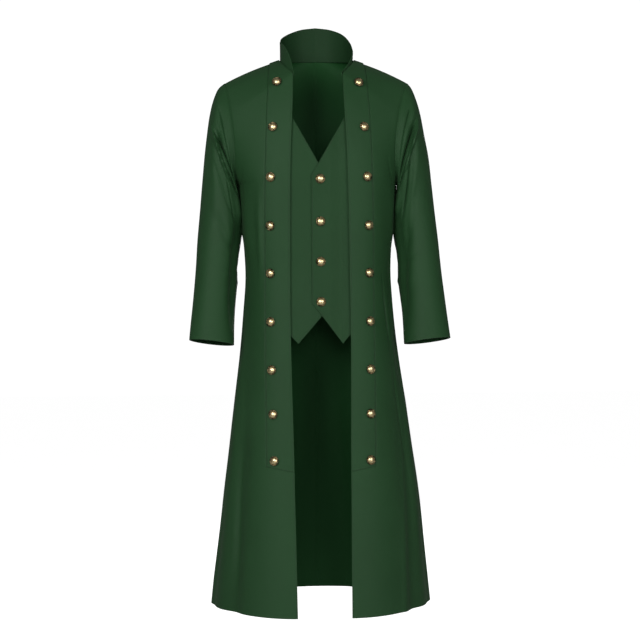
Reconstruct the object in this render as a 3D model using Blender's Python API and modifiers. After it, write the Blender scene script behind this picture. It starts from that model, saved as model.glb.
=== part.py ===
"""Long stand-collar coat, worn open, with waistcoat fronts sewn in behind its edges.

The garment keeps the hollow form it has on a wearer, with nobody inside it.
Metres, +Z up, the coat's front faces -Y and the wearer's left side is at +X.
Heights in the tables are measured up from the hem. The origin is at the neck, between
the shoulders that carry the coat.
"""
import math

import bpy
from mathutils import Matrix, Vector

# Driving sizes
CARRY_HEIGHT = 1.285
WALL = 0.0020
LIGHT_WALL = 0.0016
SEAM_GAP = 0.0003
UNDERARM = 1.00
NECK_CORNER = 1.16
SHOULDER = 1.24
NECK_RISE = 1.58
SHOULDER_BULGE = 0.0035
SLEEVE_CREASE_GAP = 0.0046
CREASE_SPREAD = 0.6
BAND_BOTTOM = 6 / 18
WAIST = 14 / 18
TUCK_GAP = 0.0012
OVERLAP_LIFT = 0.0024
OPENING_SWAY = 0.0045
COLLAR_INSET = 0.0005
BUTTON_INSET = 0.0440
BUTTON_TOP_INSET = 0.0360
BUTTON_RADIUS = 0.0096
ROUNDING = 0.000001

# How finely the pieces are drawn
LOWER_ROWS = 18
UPPER_ROWS = 12
BAND_COLUMNS = 4
FRONT_COLUMNS = 8
BACK_COLUMNS = 11
COLLAR_ROWS = 4
WAISTCOAT_COLUMNS = 8
WAISTCOAT_ROWS = 12
BUTTON_STEPS = 8

# Edges of the cloth's inside. A level is the height up to the underarm, and from there it
# counts on to the shoulder seam. Columns: level, x, y, z.
FRONT_EDGE = [
    (0.000, 0.0615, -0.172, 0.000),
    (0.144, 0.0630, -0.158, 0.144),
    (0.259, 0.0645, -0.147, 0.259),
    (0.375, 0.0655, -0.136, 0.375),
    (0.490, 0.0675, -0.126, 0.490),
    (0.605, 0.0690, -0.118, 0.605),
    (0.701, 0.0695, -0.112, 0.701),
    (0.785, 0.0690, -0.109, 0.785),
    (0.905, 0.0680, -0.115, 0.905),
    (1.000, 0.0665, -0.120, 1.000),
    (1.040, 0.0650, -0.120, 1.063),
    (1.080, 0.0620, -0.114, 1.126),
    (1.120, 0.0590, -0.101, 1.190),
    (1.160, 0.0575, -0.079, 1.253),
]
FRONT_NECK = [
    (1.160, 0.0575, -0.079, 1.253),
    (1.180, 0.0680, -0.061, 1.265),
    (1.200, 0.0780, -0.041, 1.278),
    (1.220, 0.0850, -0.020, 1.289),
    (1.240, 0.0880, 0.000, 1.298),
]
SIDE_SEAM = [
    (0.000, 0.259, 0.012, 0.000),
    (0.144, 0.243, 0.010, 0.144),
    (0.259, 0.2305, 0.009, 0.259),
    (0.375, 0.2155, 0.008, 0.375),
    (0.490, 0.2015, 0.006, 0.490),
    (0.605, 0.187, 0.004, 0.605),
    (0.701, 0.178, 0.002, 0.701),
    (0.785, 0.172, 0.000, 0.785),
    (0.905, 0.175, 0.000, 0.905),
    (1.000, 0.183, 0.000, 1.000),
]
FRONT_ARMHOLE = [
    (1.000, 0.183, 0.000, 1.000),
    (1.040, 0.182, -0.034, 1.014),
    (1.080, 0.180, -0.057, 1.050),
    (1.120, 0.181, -0.065, 1.105),
    (1.160, 0.190, -0.057, 1.165),
    (1.200, 0.204, -0.032, 1.217),
    (1.220, 0.211, -0.015, 1.235),
    (1.240, 0.215, 0.000, 1.245),
]
BACK_ARMHOLE = [
    (1.000, 0.183, 0.000, 1.000),
    (1.040, 0.182, 0.032, 1.014),
    (1.080, 0.178, 0.053, 1.050),
    (1.120, 0.178, 0.060, 1.105),
    (1.160, 0.188, 0.053, 1.165),
    (1.200, 0.204, 0.030, 1.217),
    (1.220, 0.211, 0.015, 1.235),
    (1.240, 0.215, 0.000, 1.245),
]
BACK_CENTRE = [
    (0.000, 0.000, 0.186, 0.000),
    (0.144, 0.000, 0.172, 0.144),
    (0.259, 0.000, 0.160, 0.259),
    (0.375, 0.000, 0.148, 0.375),
    (0.490, 0.000, 0.135, 0.490),
    (0.605, 0.000, 0.119, 0.605),
    (0.701, 0.000, 0.103, 0.701),
    (0.785, 0.000, 0.094, 0.785),
    (0.905, 0.000, 0.104, 0.905),
    (1.000, 0.000, 0.117, 1.000),
    (1.040, 0.000, 0.122, 1.070),
    (1.080, 0.000, 0.121, 1.145),
    (1.120, 0.000, 0.110, 1.225),
    (1.160, 0.000, 0.083, 1.316),
]
BACK_NECK = [
    (1.160, 0.000, 0.083, 1.316),
    (1.180, 0.036, 0.076, 1.314),
    (1.200, 0.065, 0.056, 1.310),
    (1.220, 0.083, 0.029, 1.304),
    (1.240, 0.088, 0.000, 1.298),
]

# How much wider the skirt stands at each side. Columns: level, wearer's left, right.
SKIRT_SWAY = [
    (0.000, 0.0055, 0.0030),
    (0.060, 0.0058, 0.0032),
    (0.120, 0.0062, 0.0018),
    (0.216, 0.0080, 0.0000),
    (0.300, 0.0080, 0.0000),
    (0.390, 0.0060, 0.0000),
    (0.475, 0.0042, 0.0000),
    (0.605, 0.0030, 0.0000),
    (0.785, 0.0008, 0.0000),
    (1.000, 0.0000, 0.0000),
]

# How far each section has turned where it ends, in degrees. Columns: level, front, back.
TURN = [
    (0.000, 60, 66),
    (0.400, 68, 72),
    (0.785, 84, 84),
    (1.000, 90, 90),
    (1.040, 77, 77),
    (1.080, 64, 63),
    (1.120, 54, 52),
    (1.160, 48, 44),
    (1.240, 40, 40),
]

# Outer seam of the button bands. Columns: level, x.
BAND_SEAM = [
    (0.000, 0.122),
    (0.333, 0.124),
    (0.605, 0.125),
    (1.000, 0.123),
    (1.120, 0.119),
    (1.160, 0.115),
    (1.240, 0.111),
]

# Soft folds of the body. Girth is 0 at the front edge, 1 at the side seam and 2 at the
# centre back. Columns: side, girth at top, girth at bottom, top, bottom, width, depth.
BODY_FOLDS = [
    (1, 0.93, 0.86, 0.76, 0.44, 0.085, -0.0060),
    (1, 0.88, 0.78, 0.60, -0.10, 0.100, 0.0060),
    (1, 0.72, 0.64, 0.45, -0.20, 0.090, -0.0050),
    (1, 1.26, 1.24, 0.66, -0.15, 0.110, -0.0070),
    (1, 1.42, 1.38, 0.72, -0.20, 0.120, 0.0060),
    (1, 1.68, 1.62, 0.62, -0.20, 0.110, -0.0060),
    (-1, 0.84, 0.80, 0.66, -0.15, 0.100, 0.0060),
    (-1, 0.66, 0.60, 0.50, -0.20, 0.090, -0.0055),
    (-1, 1.18, 1.24, 0.60, -0.15, 0.110, -0.0065),
    (-1, 1.40, 1.46, 0.70, -0.20, 0.120, 0.0065),
    (-1, 1.66, 1.60, 0.64, -0.20, 0.110, -0.0055),
    (1, 0.70, 0.82, 1.02, 0.84, 0.110, 0.0035),
    (-1, 0.66, 0.74, 0.99, 0.80, 0.110, 0.0040),
]
FOLD_FADE = 0.14
BODY_DEPTH = 0.14

# Sleeve rings, each an oval between its outer and its inner side.
# Columns: run, outer x, outer z, inner x, inner z, front y, back y.
SLEEVE_RINGS = [
    (0.00, 0.2150, 1.245, 0.1870, 1.000, -0.065, 0.060),
    (0.06, 0.2330, 1.229, 0.1893, 0.992, -0.069, 0.064),
    (0.12, 0.2440, 1.200, 0.1892, 0.983, -0.072, 0.067),
    (0.19, 0.2520, 1.165, 0.1882, 0.970, -0.073, 0.069),
    (0.27, 0.2590, 1.118, 0.1865, 0.952, -0.072, 0.070),
    (0.36, 0.2660, 1.062, 0.1842, 0.926, -0.069, 0.069),
    (0.46, 0.2735, 0.990, 0.1830, 0.888, -0.066, 0.066),
    (0.58, 0.2820, 0.900, 0.1900, 0.835, -0.064, 0.060),
    (0.70, 0.2890, 0.812, 0.1958, 0.770, -0.067, 0.050),
    (0.82, 0.2955, 0.735, 0.2000, 0.708, -0.077, 0.032),
    (0.92, 0.3010, 0.672, 0.2020, 0.656, -0.089, 0.010),
    (1.00, 0.3040, 0.632, 0.2025, 0.620, -0.098, -0.008),
]
# How much further out a sleeve's outer side stands. Columns: run, wearer's left, right.
SLEEVE_SWAY = [
    (0.00, 0.0000, 0.0000),
    (0.06, -0.0060, 0.0005),
    (0.12, -0.0060, 0.0020),
    (0.19, -0.0050, 0.0025),
    (0.27, -0.0035, 0.0025),
    (0.36, -0.0005, 0.0025),
    (0.46, 0.0000, 0.0015),
    (0.58, 0.0010, 0.0010),
    (0.70, 0.0025, 0.0005),
    (0.82, 0.0035, 0.0000),
    (1.00, 0.0045, 0.0000),
]
SLEEVE_STEPS = [0.0, 0.06, 0.12, 0.19, 0.27, 0.34, 0.41, 0.48, 0.55, 0.62, 0.69, 0.76,
                0.82, 0.88, 0.94, 1.0]
ELBOW = 0.62
CUFF_TIP = 0.0055
ARMHOLE_FADE = 0.27

# Soft folds of the sleeves. Turn is 0 on the outside, 90 in front and 180 inside.
# Columns: side, turn at top, turn at bottom, top run, bottom run, width, depth.
SLEEVE_FOLDS = [
    (-1, 60, 112, 0.06, 0.44, 15, -0.0060),
    (-1, 42, 80, 0.10, 0.50, 14, 0.0050),
    (-1, 100, 128, 0.30, 0.62, 14, 0.0045),
    (1, 62, 118, 0.08, 0.34, 16, -0.0065),
    (1, 44, 88, 0.12, 0.36, 14, 0.0050),
    (1, 84, 118, 0.28, 0.55, 13, -0.0050),
    (-1, 285, 240, 0.08, 0.46, 17, -0.0060),
    (-1, 310, 268, 0.12, 0.50, 16, 0.0050),
    (1, 292, 246, 0.08, 0.44, 17, -0.0060),
    (1, 318, 274, 0.10, 0.48, 16, 0.0050),
    (-1, 215, 240, 0.62, 0.80, 20, -0.0045),
    (1, 210, 236, 0.60, 0.78, 20, -0.0045),
    (-1, 205, 228, 0.72, 0.90, 20, 0.0035),
    (1, 206, 226, 0.71, 0.88, 20, 0.0035),
]
SLEEVE_FADE = 0.08

# Height of the collar's top edge over its seam. Level runs from the front end, 0, through
# the shoulder, 1, to the centre back, 2. Columns: place, wearer's right, wearer's left, lean.
COLLAR = [
    (0.00, 0.0060, 0.0040, 0.0000),
    (0.25, 0.0360, 0.0060, 0.0000),
    (0.50, 0.0460, 0.0100, 0.0000),
    (0.75, 0.0470, 0.0150, 0.0000),
    (1.00, 0.0450, 0.0240, -0.0005),
    (1.25, 0.0545, 0.0435, -0.0010),
    (1.50, 0.0655, 0.0640, -0.0010),
    (1.75, 0.0758, 0.0758, -0.0015),
    (2.00, 0.0798, 0.0798, -0.0020),
]

# Outlines of the waistcoat fronts, from the tucked edge to the lapped edge, seen from the
# front. Columns: x, z. The wearer's right front lies under the left one.
RIGHT_TOP = [(-0.095, 1.206), (-0.062, 1.150), (-0.001, 1.040), (0.018, 1.006)]
RIGHT_BOTTOM = [(-0.095, 0.662), (-0.066, 0.638), (-0.050, 0.622), (0.005, 0.686), (0.018, 0.700)]
LEFT_TOP = [(0.095, 1.206), (0.062, 1.150), (-0.001, 1.040), (-0.018, 1.012)]
LEFT_BOTTOM = [(0.095, 0.662), (0.066, 0.638), (0.053, 0.622), (0.005, 0.686), (-0.018, 0.716)]

# Heights of the buttons, top to bottom
BAND_BUTTONS = [1.231, 1.124, 1.008, 0.896, 0.786, 0.673, 0.562, 0.460, 0.354]
WAISTCOAT_BUTTONS = [1.003, 0.905, 0.812, 0.719]
WAISTCOAT_BUTTON_X = 0.003

# Half outline of a domed metal button: radius and height over its foot
BUTTON_PROFILE = [
    (0.0, 0.0078),
    (0.0062, 0.0062),
    (BUTTON_RADIUS, 0.0026),
    (BUTTON_RADIUS, 0.0012),
    (0.0030, 0.0012),
    (0.0030, 0.0),
    (0.0, 0.0),
]

CLOTH_COLOUR = (0.024, 0.058, 0.027, 1.0)
WAISTCOAT_COLOUR = (0.021, 0.052, 0.024, 1.0)
BUTTON_COLOUR = (0.80, 0.55, 0.20, 1.0)


def smooth(table, place):
    """Read a table at a place, with a smooth curve through its rows."""
    last = len(table) - 1
    place = min(max(place, table[0][0]), table[last][0])
    k = 0
    while k < last - 1 and place > table[k + 1][0]:
        k += 1
    step = table[k + 1][0] - table[k][0]
    t = (place - table[k][0]) / step

    def slope(row, column):
        low = table[max(row - 1, 0)]
        high = table[min(row + 1, last)]
        return (high[column] - low[column]) / (high[0] - low[0])

    values = []
    for column in range(1, len(table[0])):
        a = table[k][column]
        b = table[k + 1][column]
        m = slope(k, column) * step
        n = slope(k + 1, column) * step
        values.append(
            a * (1 + 2 * t) * (1 - t) ** 2
            + m * t * (1 - t) ** 2
            + b * t * t * (3 - 2 * t)
            - n * t * t * (1 - t)
        )
    return values


def along(outline, x):
    """Read a straight-sided outline at x."""
    points = sorted(outline)
    for low, high in zip(points, points[1:]):
        if x <= high[0]:
            break
    return low[1] + (high[1] - low[1]) * (x - low[0]) / (high[0] - low[0])


def inner_edge(part, side, level):
    """The edge of a panel that is nearest the middle of the coat, for the side at +X."""
    if part == "back":
        return Vector(smooth(BACK_CENTRE if level <= NECK_CORNER else BACK_NECK, level))
    edge = Vector(smooth(FRONT_EDGE if level <= NECK_CORNER else FRONT_NECK, level))
    edge.x += side * OPENING_SWAY * max(0.0, UNDERARM - level)
    return edge


def outer_edge(part, side, level):
    """The edge of a panel at the side seam and the armhole, for the side at +X."""
    if level <= UNDERARM:
        edge = Vector(smooth(SIDE_SEAM, level))
        edge.x += smooth(SKIRT_SWAY, level)[0 if side > 0 else 1]
        return edge
    return Vector(smooth(FRONT_ARMHOLE if part == "front" else BACK_ARMHOLE, level))


def turn_angle(part, level):
    """How far a section of a panel has turned at its outer edge."""
    front, back = smooth(TURN, level)
    return math.radians(front if part == "front" else back)


def fade(value, low, high, margin):
    """One between low and high, falling softly to nothing outside them."""
    if value < low:
        gap = (low - value) / margin
    elif value > high:
        gap = (value - high) / margin
    else:
        return 1.0
    return max(0.0, 1.0 - gap) ** 2 * (1.0 + 2.0 * min(gap, 1.0))


def body_fold(side, girth, level):
    """How far the folds move the cloth of the body in or out."""
    total = 0.0
    for which, top_girth, bottom_girth, top, bottom, width, depth in BODY_FOLDS:
        if which != side:
            continue
        share = (top - level) / (top - bottom)
        centre = top_girth + (bottom_girth - top_girth) * share
        reach = depth * fade(level, bottom + FOLD_FADE, top - FOLD_FADE, FOLD_FADE)
        total += reach * math.exp(-(((girth - centre) / width) ** 2))
    return total


def panel_point(part, side, u, level):
    """A point of a panel's inside. u runs from the inner edge, 0, to the outer edge, 1."""
    inner = inner_edge(part, side, level)
    outer = outer_edge(part, side, level)
    turn = turn_angle(part, level)
    share = math.sin(u * turn) / math.sin(turn)
    bend = (math.cos(u * turn) - math.cos(turn)) / (1.0 - math.cos(turn))
    x = inner.x + (outer.x - inner.x) * share
    y = outer.y + (inner.y - outer.y) * bend
    z = inner.z + (outer.z - inner.z) * share
    rise = max(0.0, (level - NECK_CORNER) / (SHOULDER - NECK_CORNER))
    z += SHOULDER_BULGE * rise * math.sin(math.pi * u)
    girth = u if part == "front" else 2.0 - u
    fold = body_fold(side, girth, level)
    out = Vector((x / outer.x**2, y / BODY_DEPTH**2, 0.0)).normalized()
    return Vector((side * (x + out.x * fold), y + out.y * fold, z))


def share_at(side, level, x):
    """The u of a front panel at which it reaches x."""
    inner = inner_edge("front", side, level)
    outer = outer_edge("front", side, level)
    turn = turn_angle("front", level)
    share = (x - inner.x) / (outer.x - inner.x)
    return math.asin(min(1.0, max(0.0, share)) * math.sin(turn)) / turn


def levels(low, high):
    """The levels of the rows from low to high, both included."""
    rows = [k / LOWER_ROWS * UNDERARM for k in range(LOWER_ROWS)]
    step = (SHOULDER - UNDERARM) / UPPER_ROWS
    rows += [UNDERARM + k * step for k in range(UPPER_ROWS + 1)]
    return [level for level in rows if low - ROUNDING <= level <= high + ROUNDING]


def seam_shift(part, side, point, u, level):
    """Keep a panel half a seam's gap away from the panel it is sewn to."""
    half = SEAM_GAP / 2
    if part == "back" and u == 0.0 and level <= NECK_CORNER:
        point.x += side * half
    if (u == 1.0 and level <= UNDERARM) or level > SHOULDER - ROUNDING:
        point.y += half if part == "back" else -half
    return point


def panel_columns(part, side, level):
    """The u of each column of a panel at a level."""
    if part == "back":
        return [k / BACK_COLUMNS for k in range(BACK_COLUMNS + 1)]
    band = share_at(side, level, smooth(BAND_SEAM, level)[0])
    columns = [band * k / BAND_COLUMNS for k in range(BAND_COLUMNS)]
    columns += [band + (1.0 - band) * k / FRONT_COLUMNS for k in range(FRONT_COLUMNS + 1)]
    return columns


def panel_rows(part, side):
    """The rows of points of a front or back panel, hem to shoulder."""
    rows = []
    for level in levels(0.0, SHOULDER):
        row = []
        for u in panel_columns(part, side, level):
            point = panel_point(part, side, u, level)
            row.append(seam_shift(part, side, point, u, level))
        rows.append(row)
    return rows


def moved_out(rows, distance, flip):
    """Move a grid of points along its own normals."""
    result = []
    last_row = len(rows) - 1
    last = len(rows[0]) - 1
    for j, row in enumerate(rows):
        moved = []
        for k, point in enumerate(row):
            before = row[max(k - 1, 0)]
            after = row[min(k + 1, last)]
            below = rows[max(j - 1, 0)][k]
            above = rows[min(j + 1, last_row)][k]
            normal = (after - before).cross(above - below).normalized()
            moved.append(point + normal * (-distance if flip else distance))
        result.append(moved)
    return result


def material(name, colour, roughness, metallic):
    """A plain Principled material."""
    made = bpy.data.materials.new(name)
    made.use_nodes = True
    shader = made.node_tree.nodes["Principled BSDF"]
    shader.inputs["Base Color"].default_value = colour
    shader.inputs["Roughness"].default_value = roughness
    shader.inputs["Metallic"].default_value = metallic
    return made


def cloth_piece(name, rows, finish, thickness, offset, flip, closed=False):
    """Loft a grid of points into a sheet and give it a wall with Solidify."""
    count = len(rows[0])
    verts = [(p.x, p.y, p.z - CARRY_HEIGHT) for row in rows for p in row]
    faces = []
    for j in range(len(rows) - 1):
        for k in range(count if closed else count - 1):
            a = j * count + k
            b = j * count + (k + 1) % count
            quad = (a, b, b + count, a + count)
            faces.append(tuple(reversed(quad)) if flip else quad)
    mesh = bpy.data.meshes.new(name)
    mesh.from_pydata(verts, [], faces)
    mesh.shade_smooth()
    mesh.materials.append(finish)
    piece = bpy.data.objects.new(name, mesh)
    collection.objects.link(piece)
    wall = piece.modifiers.new("wall", "SOLIDIFY")
    wall.thickness = thickness
    wall.offset = offset
    return piece


def build_panels():
    """Two fronts and two backs, each drawn as a chest part and a skirt that meet at the waist."""
    waist = levels(0.0, SHOULDER).index(levels(WAIST, SHOULDER)[0])
    apart = Vector((0.0, 0.0, SEAM_GAP))
    for part in ("front", "back"):
        for side, word in ((1, "left"), (-1, "right")):
            flip = (side < 0) != (part == "back")
            finish = material(f"{part}_{word}_wool", CLOTH_COLOUR, 0.85, 0.0)
            rows = panel_rows(part, side)
            chest = [[point + apart for point in rows[waist]]] + rows[waist + 1:]
            skirt = rows[:waist] + [[point - apart for point in rows[waist]]]
            cloth_piece(f"{part}_{word}", chest, finish, WALL, 1.0, flip)
            cloth_piece(f"{part}_skirt_{word}", skirt, finish, WALL, 1.0, flip)


def build_bands():
    """The button bands, made from the front panels' own points, moved out."""
    first = levels(0.0, SHOULDER).index(levels(BAND_BOTTOM, SHOULDER)[0])
    for side, word in ((1, "left"), (-1, "right")):
        rows = moved_out(panel_rows("front", side), WALL + SEAM_GAP, side < 0)
        rows = [row[: BAND_COLUMNS + 1] for row in rows[first:]]
        finish = material(f"band_{word}_wool", CLOTH_COLOUR, 0.85, 0.0)
        cloth_piece(f"button_band_{word}", rows, finish, LIGHT_WALL, 1.0, side < 0)


def armhole_ring(side):
    """The armhole as a ring: top, down the front, underarm, up the back."""
    upper = levels(UNDERARM, SHOULDER)
    front = [outer_edge("front", side, level) for level in reversed(upper)]
    back = [outer_edge("back", side, level) for level in upper]
    return [Vector((side * p.x, p.y, p.z)) for p in front + back[1:-1]]


def sleeve_fold(side, turn, run):
    """How far the folds move the cloth of a sleeve in or out."""
    total = 0.0
    for which, top_turn, bottom_turn, top, bottom, width, depth in SLEEVE_FOLDS:
        if which != side:
            continue
        share = (run - top) / (bottom - top)
        centre = top_turn + (bottom_turn - top_turn) * share
        reach = depth * fade(run, top, bottom, SLEEVE_FADE)
        total += reach * math.exp(-(((turn - centre) / width) ** 2))
    return total * min(1.0, run / SLEEVE_FADE)


def sleeve_point(side, turn, run):
    """A point of the sleeve's inside: an oval ring, with its folds."""
    outer_x, outer_z, inner_x, inner_z, front, back = smooth(SLEEVE_RINGS, run)
    outer_x += smooth(SLEEVE_SWAY, run)[0 if side > 0 else 1]
    angle = math.radians(turn)
    across = math.cos(angle)
    forward = math.sin(angle)
    half = Vector(((outer_x - inner_x) / 2, 0.0, (outer_z - inner_z) / 2))
    depth = (back - front) / 2
    centre = Vector(((outer_x + inner_x) / 2, (front + back) / 2, (outer_z + inner_z) / 2))
    point = centre + half * across + Vector((0.0, -depth * forward, CUFF_TIP * run * forward))
    out = half.normalized() * across / half.length + Vector((0.0, -forward / depth, 0.0))
    point += out.normalized() * sleeve_fold(side, turn, run)
    return Vector((side * point.x, point.y, point.z))


def sleeve_rows(side):
    """Rings of the sleeve from the armhole, whose own outline fades out down the sleeve."""
    armhole = armhole_ring(side)
    count = len(armhole)
    turns = [360.0 * k / count for k in range(count)]
    plain = [sleeve_point(side, turn, 0.0) for turn in turns]
    rows = []
    for run in SLEEVE_STEPS:
        keep = max(0.0, 1.0 - run / ARMHOLE_FADE) ** 2
        row = []
        for turn, seam, oval in zip(turns, armhole, plain):
            under = 0.5 - 0.5 * math.cos(math.radians(turn))
            clear = SEAM_GAP + SLEEVE_CREASE_GAP * under**CREASE_SPREAD
            away = Vector((side * clear, 0.0, 0.0))
            row.append(sleeve_point(side, turn, run) + (seam + away - oval) * keep)
        rows.append(row)
    return rows


def build_sleeves():
    """Two sleeves, open tubes from the armhole to the cuff, in two parts that meet at the elbow."""
    elbow = SLEEVE_STEPS.index(ELBOW)
    apart = Vector((0.0, 0.0, SEAM_GAP))
    for side, word in ((1, "left"), (-1, "right")):
        finish = material(f"sleeve_{word}_wool", CLOTH_COLOUR, 0.85, 0.0)
        rows = sleeve_rows(side)
        upper = rows[:elbow] + [[point + apart for point in rows[elbow]]]
        lower = [[point - apart for point in rows[elbow]]] + rows[elbow + 1:]
        cloth_piece(f"sleeve_{word}", upper, finish, WALL, 1.0, side < 0, True)
        cloth_piece(f"sleeve_lower_{word}", lower, finish, WALL, 1.0, side < 0, True)


def neck_path():
    """Points of the neck seam from the wearer's left front end round to the right one."""
    upper = levels(NECK_CORNER, SHOULDER)
    half = [inner_edge("front", 1, level) for level in upper]
    half += [inner_edge("back", 1, level) for level in reversed(upper)][1:]
    other = [Vector((-p.x, p.y, p.z)) for p in reversed(half)][1:]
    return half + other


def build_collar():
    """The stand collar, a band that rises from the neck seam."""
    path = neck_path()
    middle = (len(path) - 1) / 2
    rows = []
    for j in range(COLLAR_ROWS + 1):
        share = j / COLLAR_ROWS
        row = []
        for k, seam in enumerate(path):
            place = 2.0 - 2.0 * abs(k - middle) / middle
            right, left, lean = smooth(COLLAR, place)
            height = right if k > middle else left
            inward = Vector((-seam.x, -seam.y, 0.0)).normalized()
            point = seam + inward * (COLLAR_INSET + lean * share)
            row.append(point + Vector((0.0, 0.0, SEAM_GAP + height * share)))
        rows.append(row)
    finish = material("collar_wool", CLOTH_COLOUR, 0.85, 0.0)
    cloth_piece("collar", rows, finish, WALL, -1.0, False)


def front_skin(x, z):
    """The inside of the fronts at x and z, carried straight on across the open gap."""
    level = z if z <= UNDERARM else UNDERARM + (z - UNDERARM) / NECK_RISE
    side = 1 if x >= 0 else -1
    edge = inner_edge("front", side, level)
    if abs(x) <= edge.x:
        return Vector((x, edge.y, z))
    return panel_point("front", side, share_at(side, level, abs(x)), level)


def build_waistcoat():
    """Two short fronts sewn in behind the coat's edges. The left laps over the right."""
    for word, side, top, bottom in (
        ("left", 1, LEFT_TOP, LEFT_BOTTOM),
        ("right", -1, RIGHT_TOP, RIGHT_BOTTOM),
    ):
        tucked = top[0][0]
        lapped = top[-1][0]
        stops = [tucked + (lapped - tucked) * k / WAISTCOAT_COLUMNS
                 for k in range(WAISTCOAT_COLUMNS + 1)]
        rows = []
        for j in range(WAISTCOAT_ROWS + 1):
            row = []
            for x in stops:
                low = along(bottom, x)
                high = along(top, x)
                point = front_skin(x, low + (high - low) * j / WAISTCOAT_ROWS)
                point.y += TUCK_GAP
                if side > 0:
                    point.y -= OVERLAP_LIFT * fade(x, -1.0, 0.022, 0.028)
                row.append(point)
            rows.append(row)
        finish = material(f"waistcoat_{word}_wool", WAISTCOAT_COLOUR, 0.85, 0.0)
        cloth_piece(f"waistcoat_{word}", rows, finish, LIGHT_WALL, -1.0, side > 0)


def button_mesh():
    """The outline that a Screw modifier turns into a button."""
    mesh = bpy.data.meshes.new("button_outline")
    verts = [(radius, 0.0, height) for radius, height in BUTTON_PROFILE]
    edges = [(k, k + 1) for k in range(len(verts) - 1)]
    mesh.from_pydata(verts, edges, [])
    return mesh


def add_button(name, mesh, foot, out, finish):
    """One button, standing on its foot and facing out."""
    button = bpy.data.objects.new(name, mesh)
    collection.objects.link(button)
    place = Vector((foot.x, foot.y, foot.z - CARRY_HEIGHT))
    button.matrix_world = Matrix.Translation(place) @ out.to_track_quat("Z", "Y").to_matrix().to_4x4()
    turned = button.modifiers.new("turned", "SCREW")
    turned.steps = BUTTON_STEPS
    turned.render_steps = BUTTON_STEPS
    turned.use_merge_vertices = True
    turned.merge_threshold = 0.00001
    turned.use_smooth_shade = True
    if not mesh.materials:
        mesh.materials.append(finish)


def level_at(side, inset, height):
    """The level at which a front reaches a height, so far in from its edge."""
    low = 0.0
    high = NECK_CORNER
    for _ in range(20):
        level = (low + high) / 2
        u = share_at(side, level, inner_edge("front", side, level).x + inset)
        if panel_point("front", side, u, level).z < height:
            low = level
        else:
            high = level
    return level


def build_buttons():
    """Nine buttons on each band and four on the waistcoat."""
    mesh = button_mesh()
    finish = material("button_brass", BUTTON_COLOUR, 0.25, 1.0)
    lift = WALL + SEAM_GAP + LIGHT_WALL + SEAM_GAP
    for side, word in ((1, "left"), (-1, "right")):
        for number, height in enumerate(BAND_BUTTONS, start=1):
            inset = BUTTON_TOP_INSET if number == 1 else BUTTON_INSET
            level = level_at(side, inset, height)
            u = share_at(side, level, inner_edge("front", side, level).x + inset)
            here = panel_point("front", side, u, level)
            across = panel_point("front", side, u + 0.02, level) - here
            up = panel_point("front", side, u, level + 0.01) - here
            out = across.cross(up).normalized() * side
            add_button(f"button_{word}_{number}", mesh, here + out * lift, out, finish)
    for number, height in enumerate(WAISTCOAT_BUTTONS, start=1):
        here = front_skin(WAISTCOAT_BUTTON_X, height)
        here.y += TUCK_GAP - OVERLAP_LIFT - SEAM_GAP
        add_button(f"button_waistcoat_{number}", mesh, here, Vector((0.0, -1.0, 0.0)), finish)


for old in list(bpy.data.objects):
    bpy.data.objects.remove(old, do_unlink=True)
collection = bpy.data.collections.new("stand_collar_coat")
bpy.context.scene.collection.children.link(collection)
build_panels()
build_bands()
build_sleeves()
build_collar()
build_waistcoat()
build_buttons()
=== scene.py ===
# %% [markdown]
# # A long stand-collar coat, worn open
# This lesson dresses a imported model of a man's long, dark green coat. The coat keeps the
# form that it has on a wearer, with nobody inside it: two flared fronts that stand apart,
# a pair of short waistcoat fronts sewn in behind them, two button bands, a stand collar
# and 22 domed brass buttons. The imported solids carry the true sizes. Every visible piece
# is drawn again here in finer cloth, in the same frame, in metres.

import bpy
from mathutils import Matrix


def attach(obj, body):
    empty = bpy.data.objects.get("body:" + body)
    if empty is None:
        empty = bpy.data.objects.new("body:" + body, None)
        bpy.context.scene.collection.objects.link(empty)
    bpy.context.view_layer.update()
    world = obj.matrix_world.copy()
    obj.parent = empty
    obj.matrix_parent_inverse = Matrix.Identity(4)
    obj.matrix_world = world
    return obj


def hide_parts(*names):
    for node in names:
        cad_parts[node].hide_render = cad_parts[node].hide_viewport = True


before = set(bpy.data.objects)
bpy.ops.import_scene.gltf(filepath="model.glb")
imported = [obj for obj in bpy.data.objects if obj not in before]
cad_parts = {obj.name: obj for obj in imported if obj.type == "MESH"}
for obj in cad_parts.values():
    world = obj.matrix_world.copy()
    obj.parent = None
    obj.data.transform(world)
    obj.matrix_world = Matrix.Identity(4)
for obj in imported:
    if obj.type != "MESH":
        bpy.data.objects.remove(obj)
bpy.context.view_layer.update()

# %% Python's own helpers
import math
from functools import lru_cache, partial

import bpy
from mathutils import Matrix, Vector, noise

print("Blender", bpy.app.version_string)

# %% [markdown]
# ## Colours and nodes
# A dyer's shade is easiest to write as an sRGB hex value, as a colour picker gives it.
# Shaders work in linear light, so one function converts it. A second small function adds
# a node, sets its own options and links or fills its inputs, and a third hands on the
# node's first output. All materials and all Geometry Nodes below are built with them.


# %% Hex to linear, and functions that add nodes
def linear(code):
    """An sRGB hex value such as "#1F4023" as linear red, green, blue and alpha."""
    parts = [int(code[k:k + 2], 16) / 255 for k in (1, 3, 5)]
    return tuple(c / 12.92 if c <= 0.04045 else ((c + 0.055) / 1.055) ** 2.4 for c in parts) + (1.0,)


def add_node(tree, kind, inputs=None, **options):
    """Add a node to a tree. inputs holds values, or the sockets that feed them."""
    node = tree.nodes.new(kind)
    for name, value in options.items():
        setattr(node, name, value)
    for key, value in (inputs or {}).items():
        if isinstance(value, bpy.types.NodeSocket):
            tree.links.new(value, node.inputs[key])
        else:
            node.inputs[key].default_value = value
    return node


def result(tree, kind, inputs=None, **options):
    """Add a node and give its first output."""
    return add_node(tree, kind, inputs, **options).outputs[0]


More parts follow.
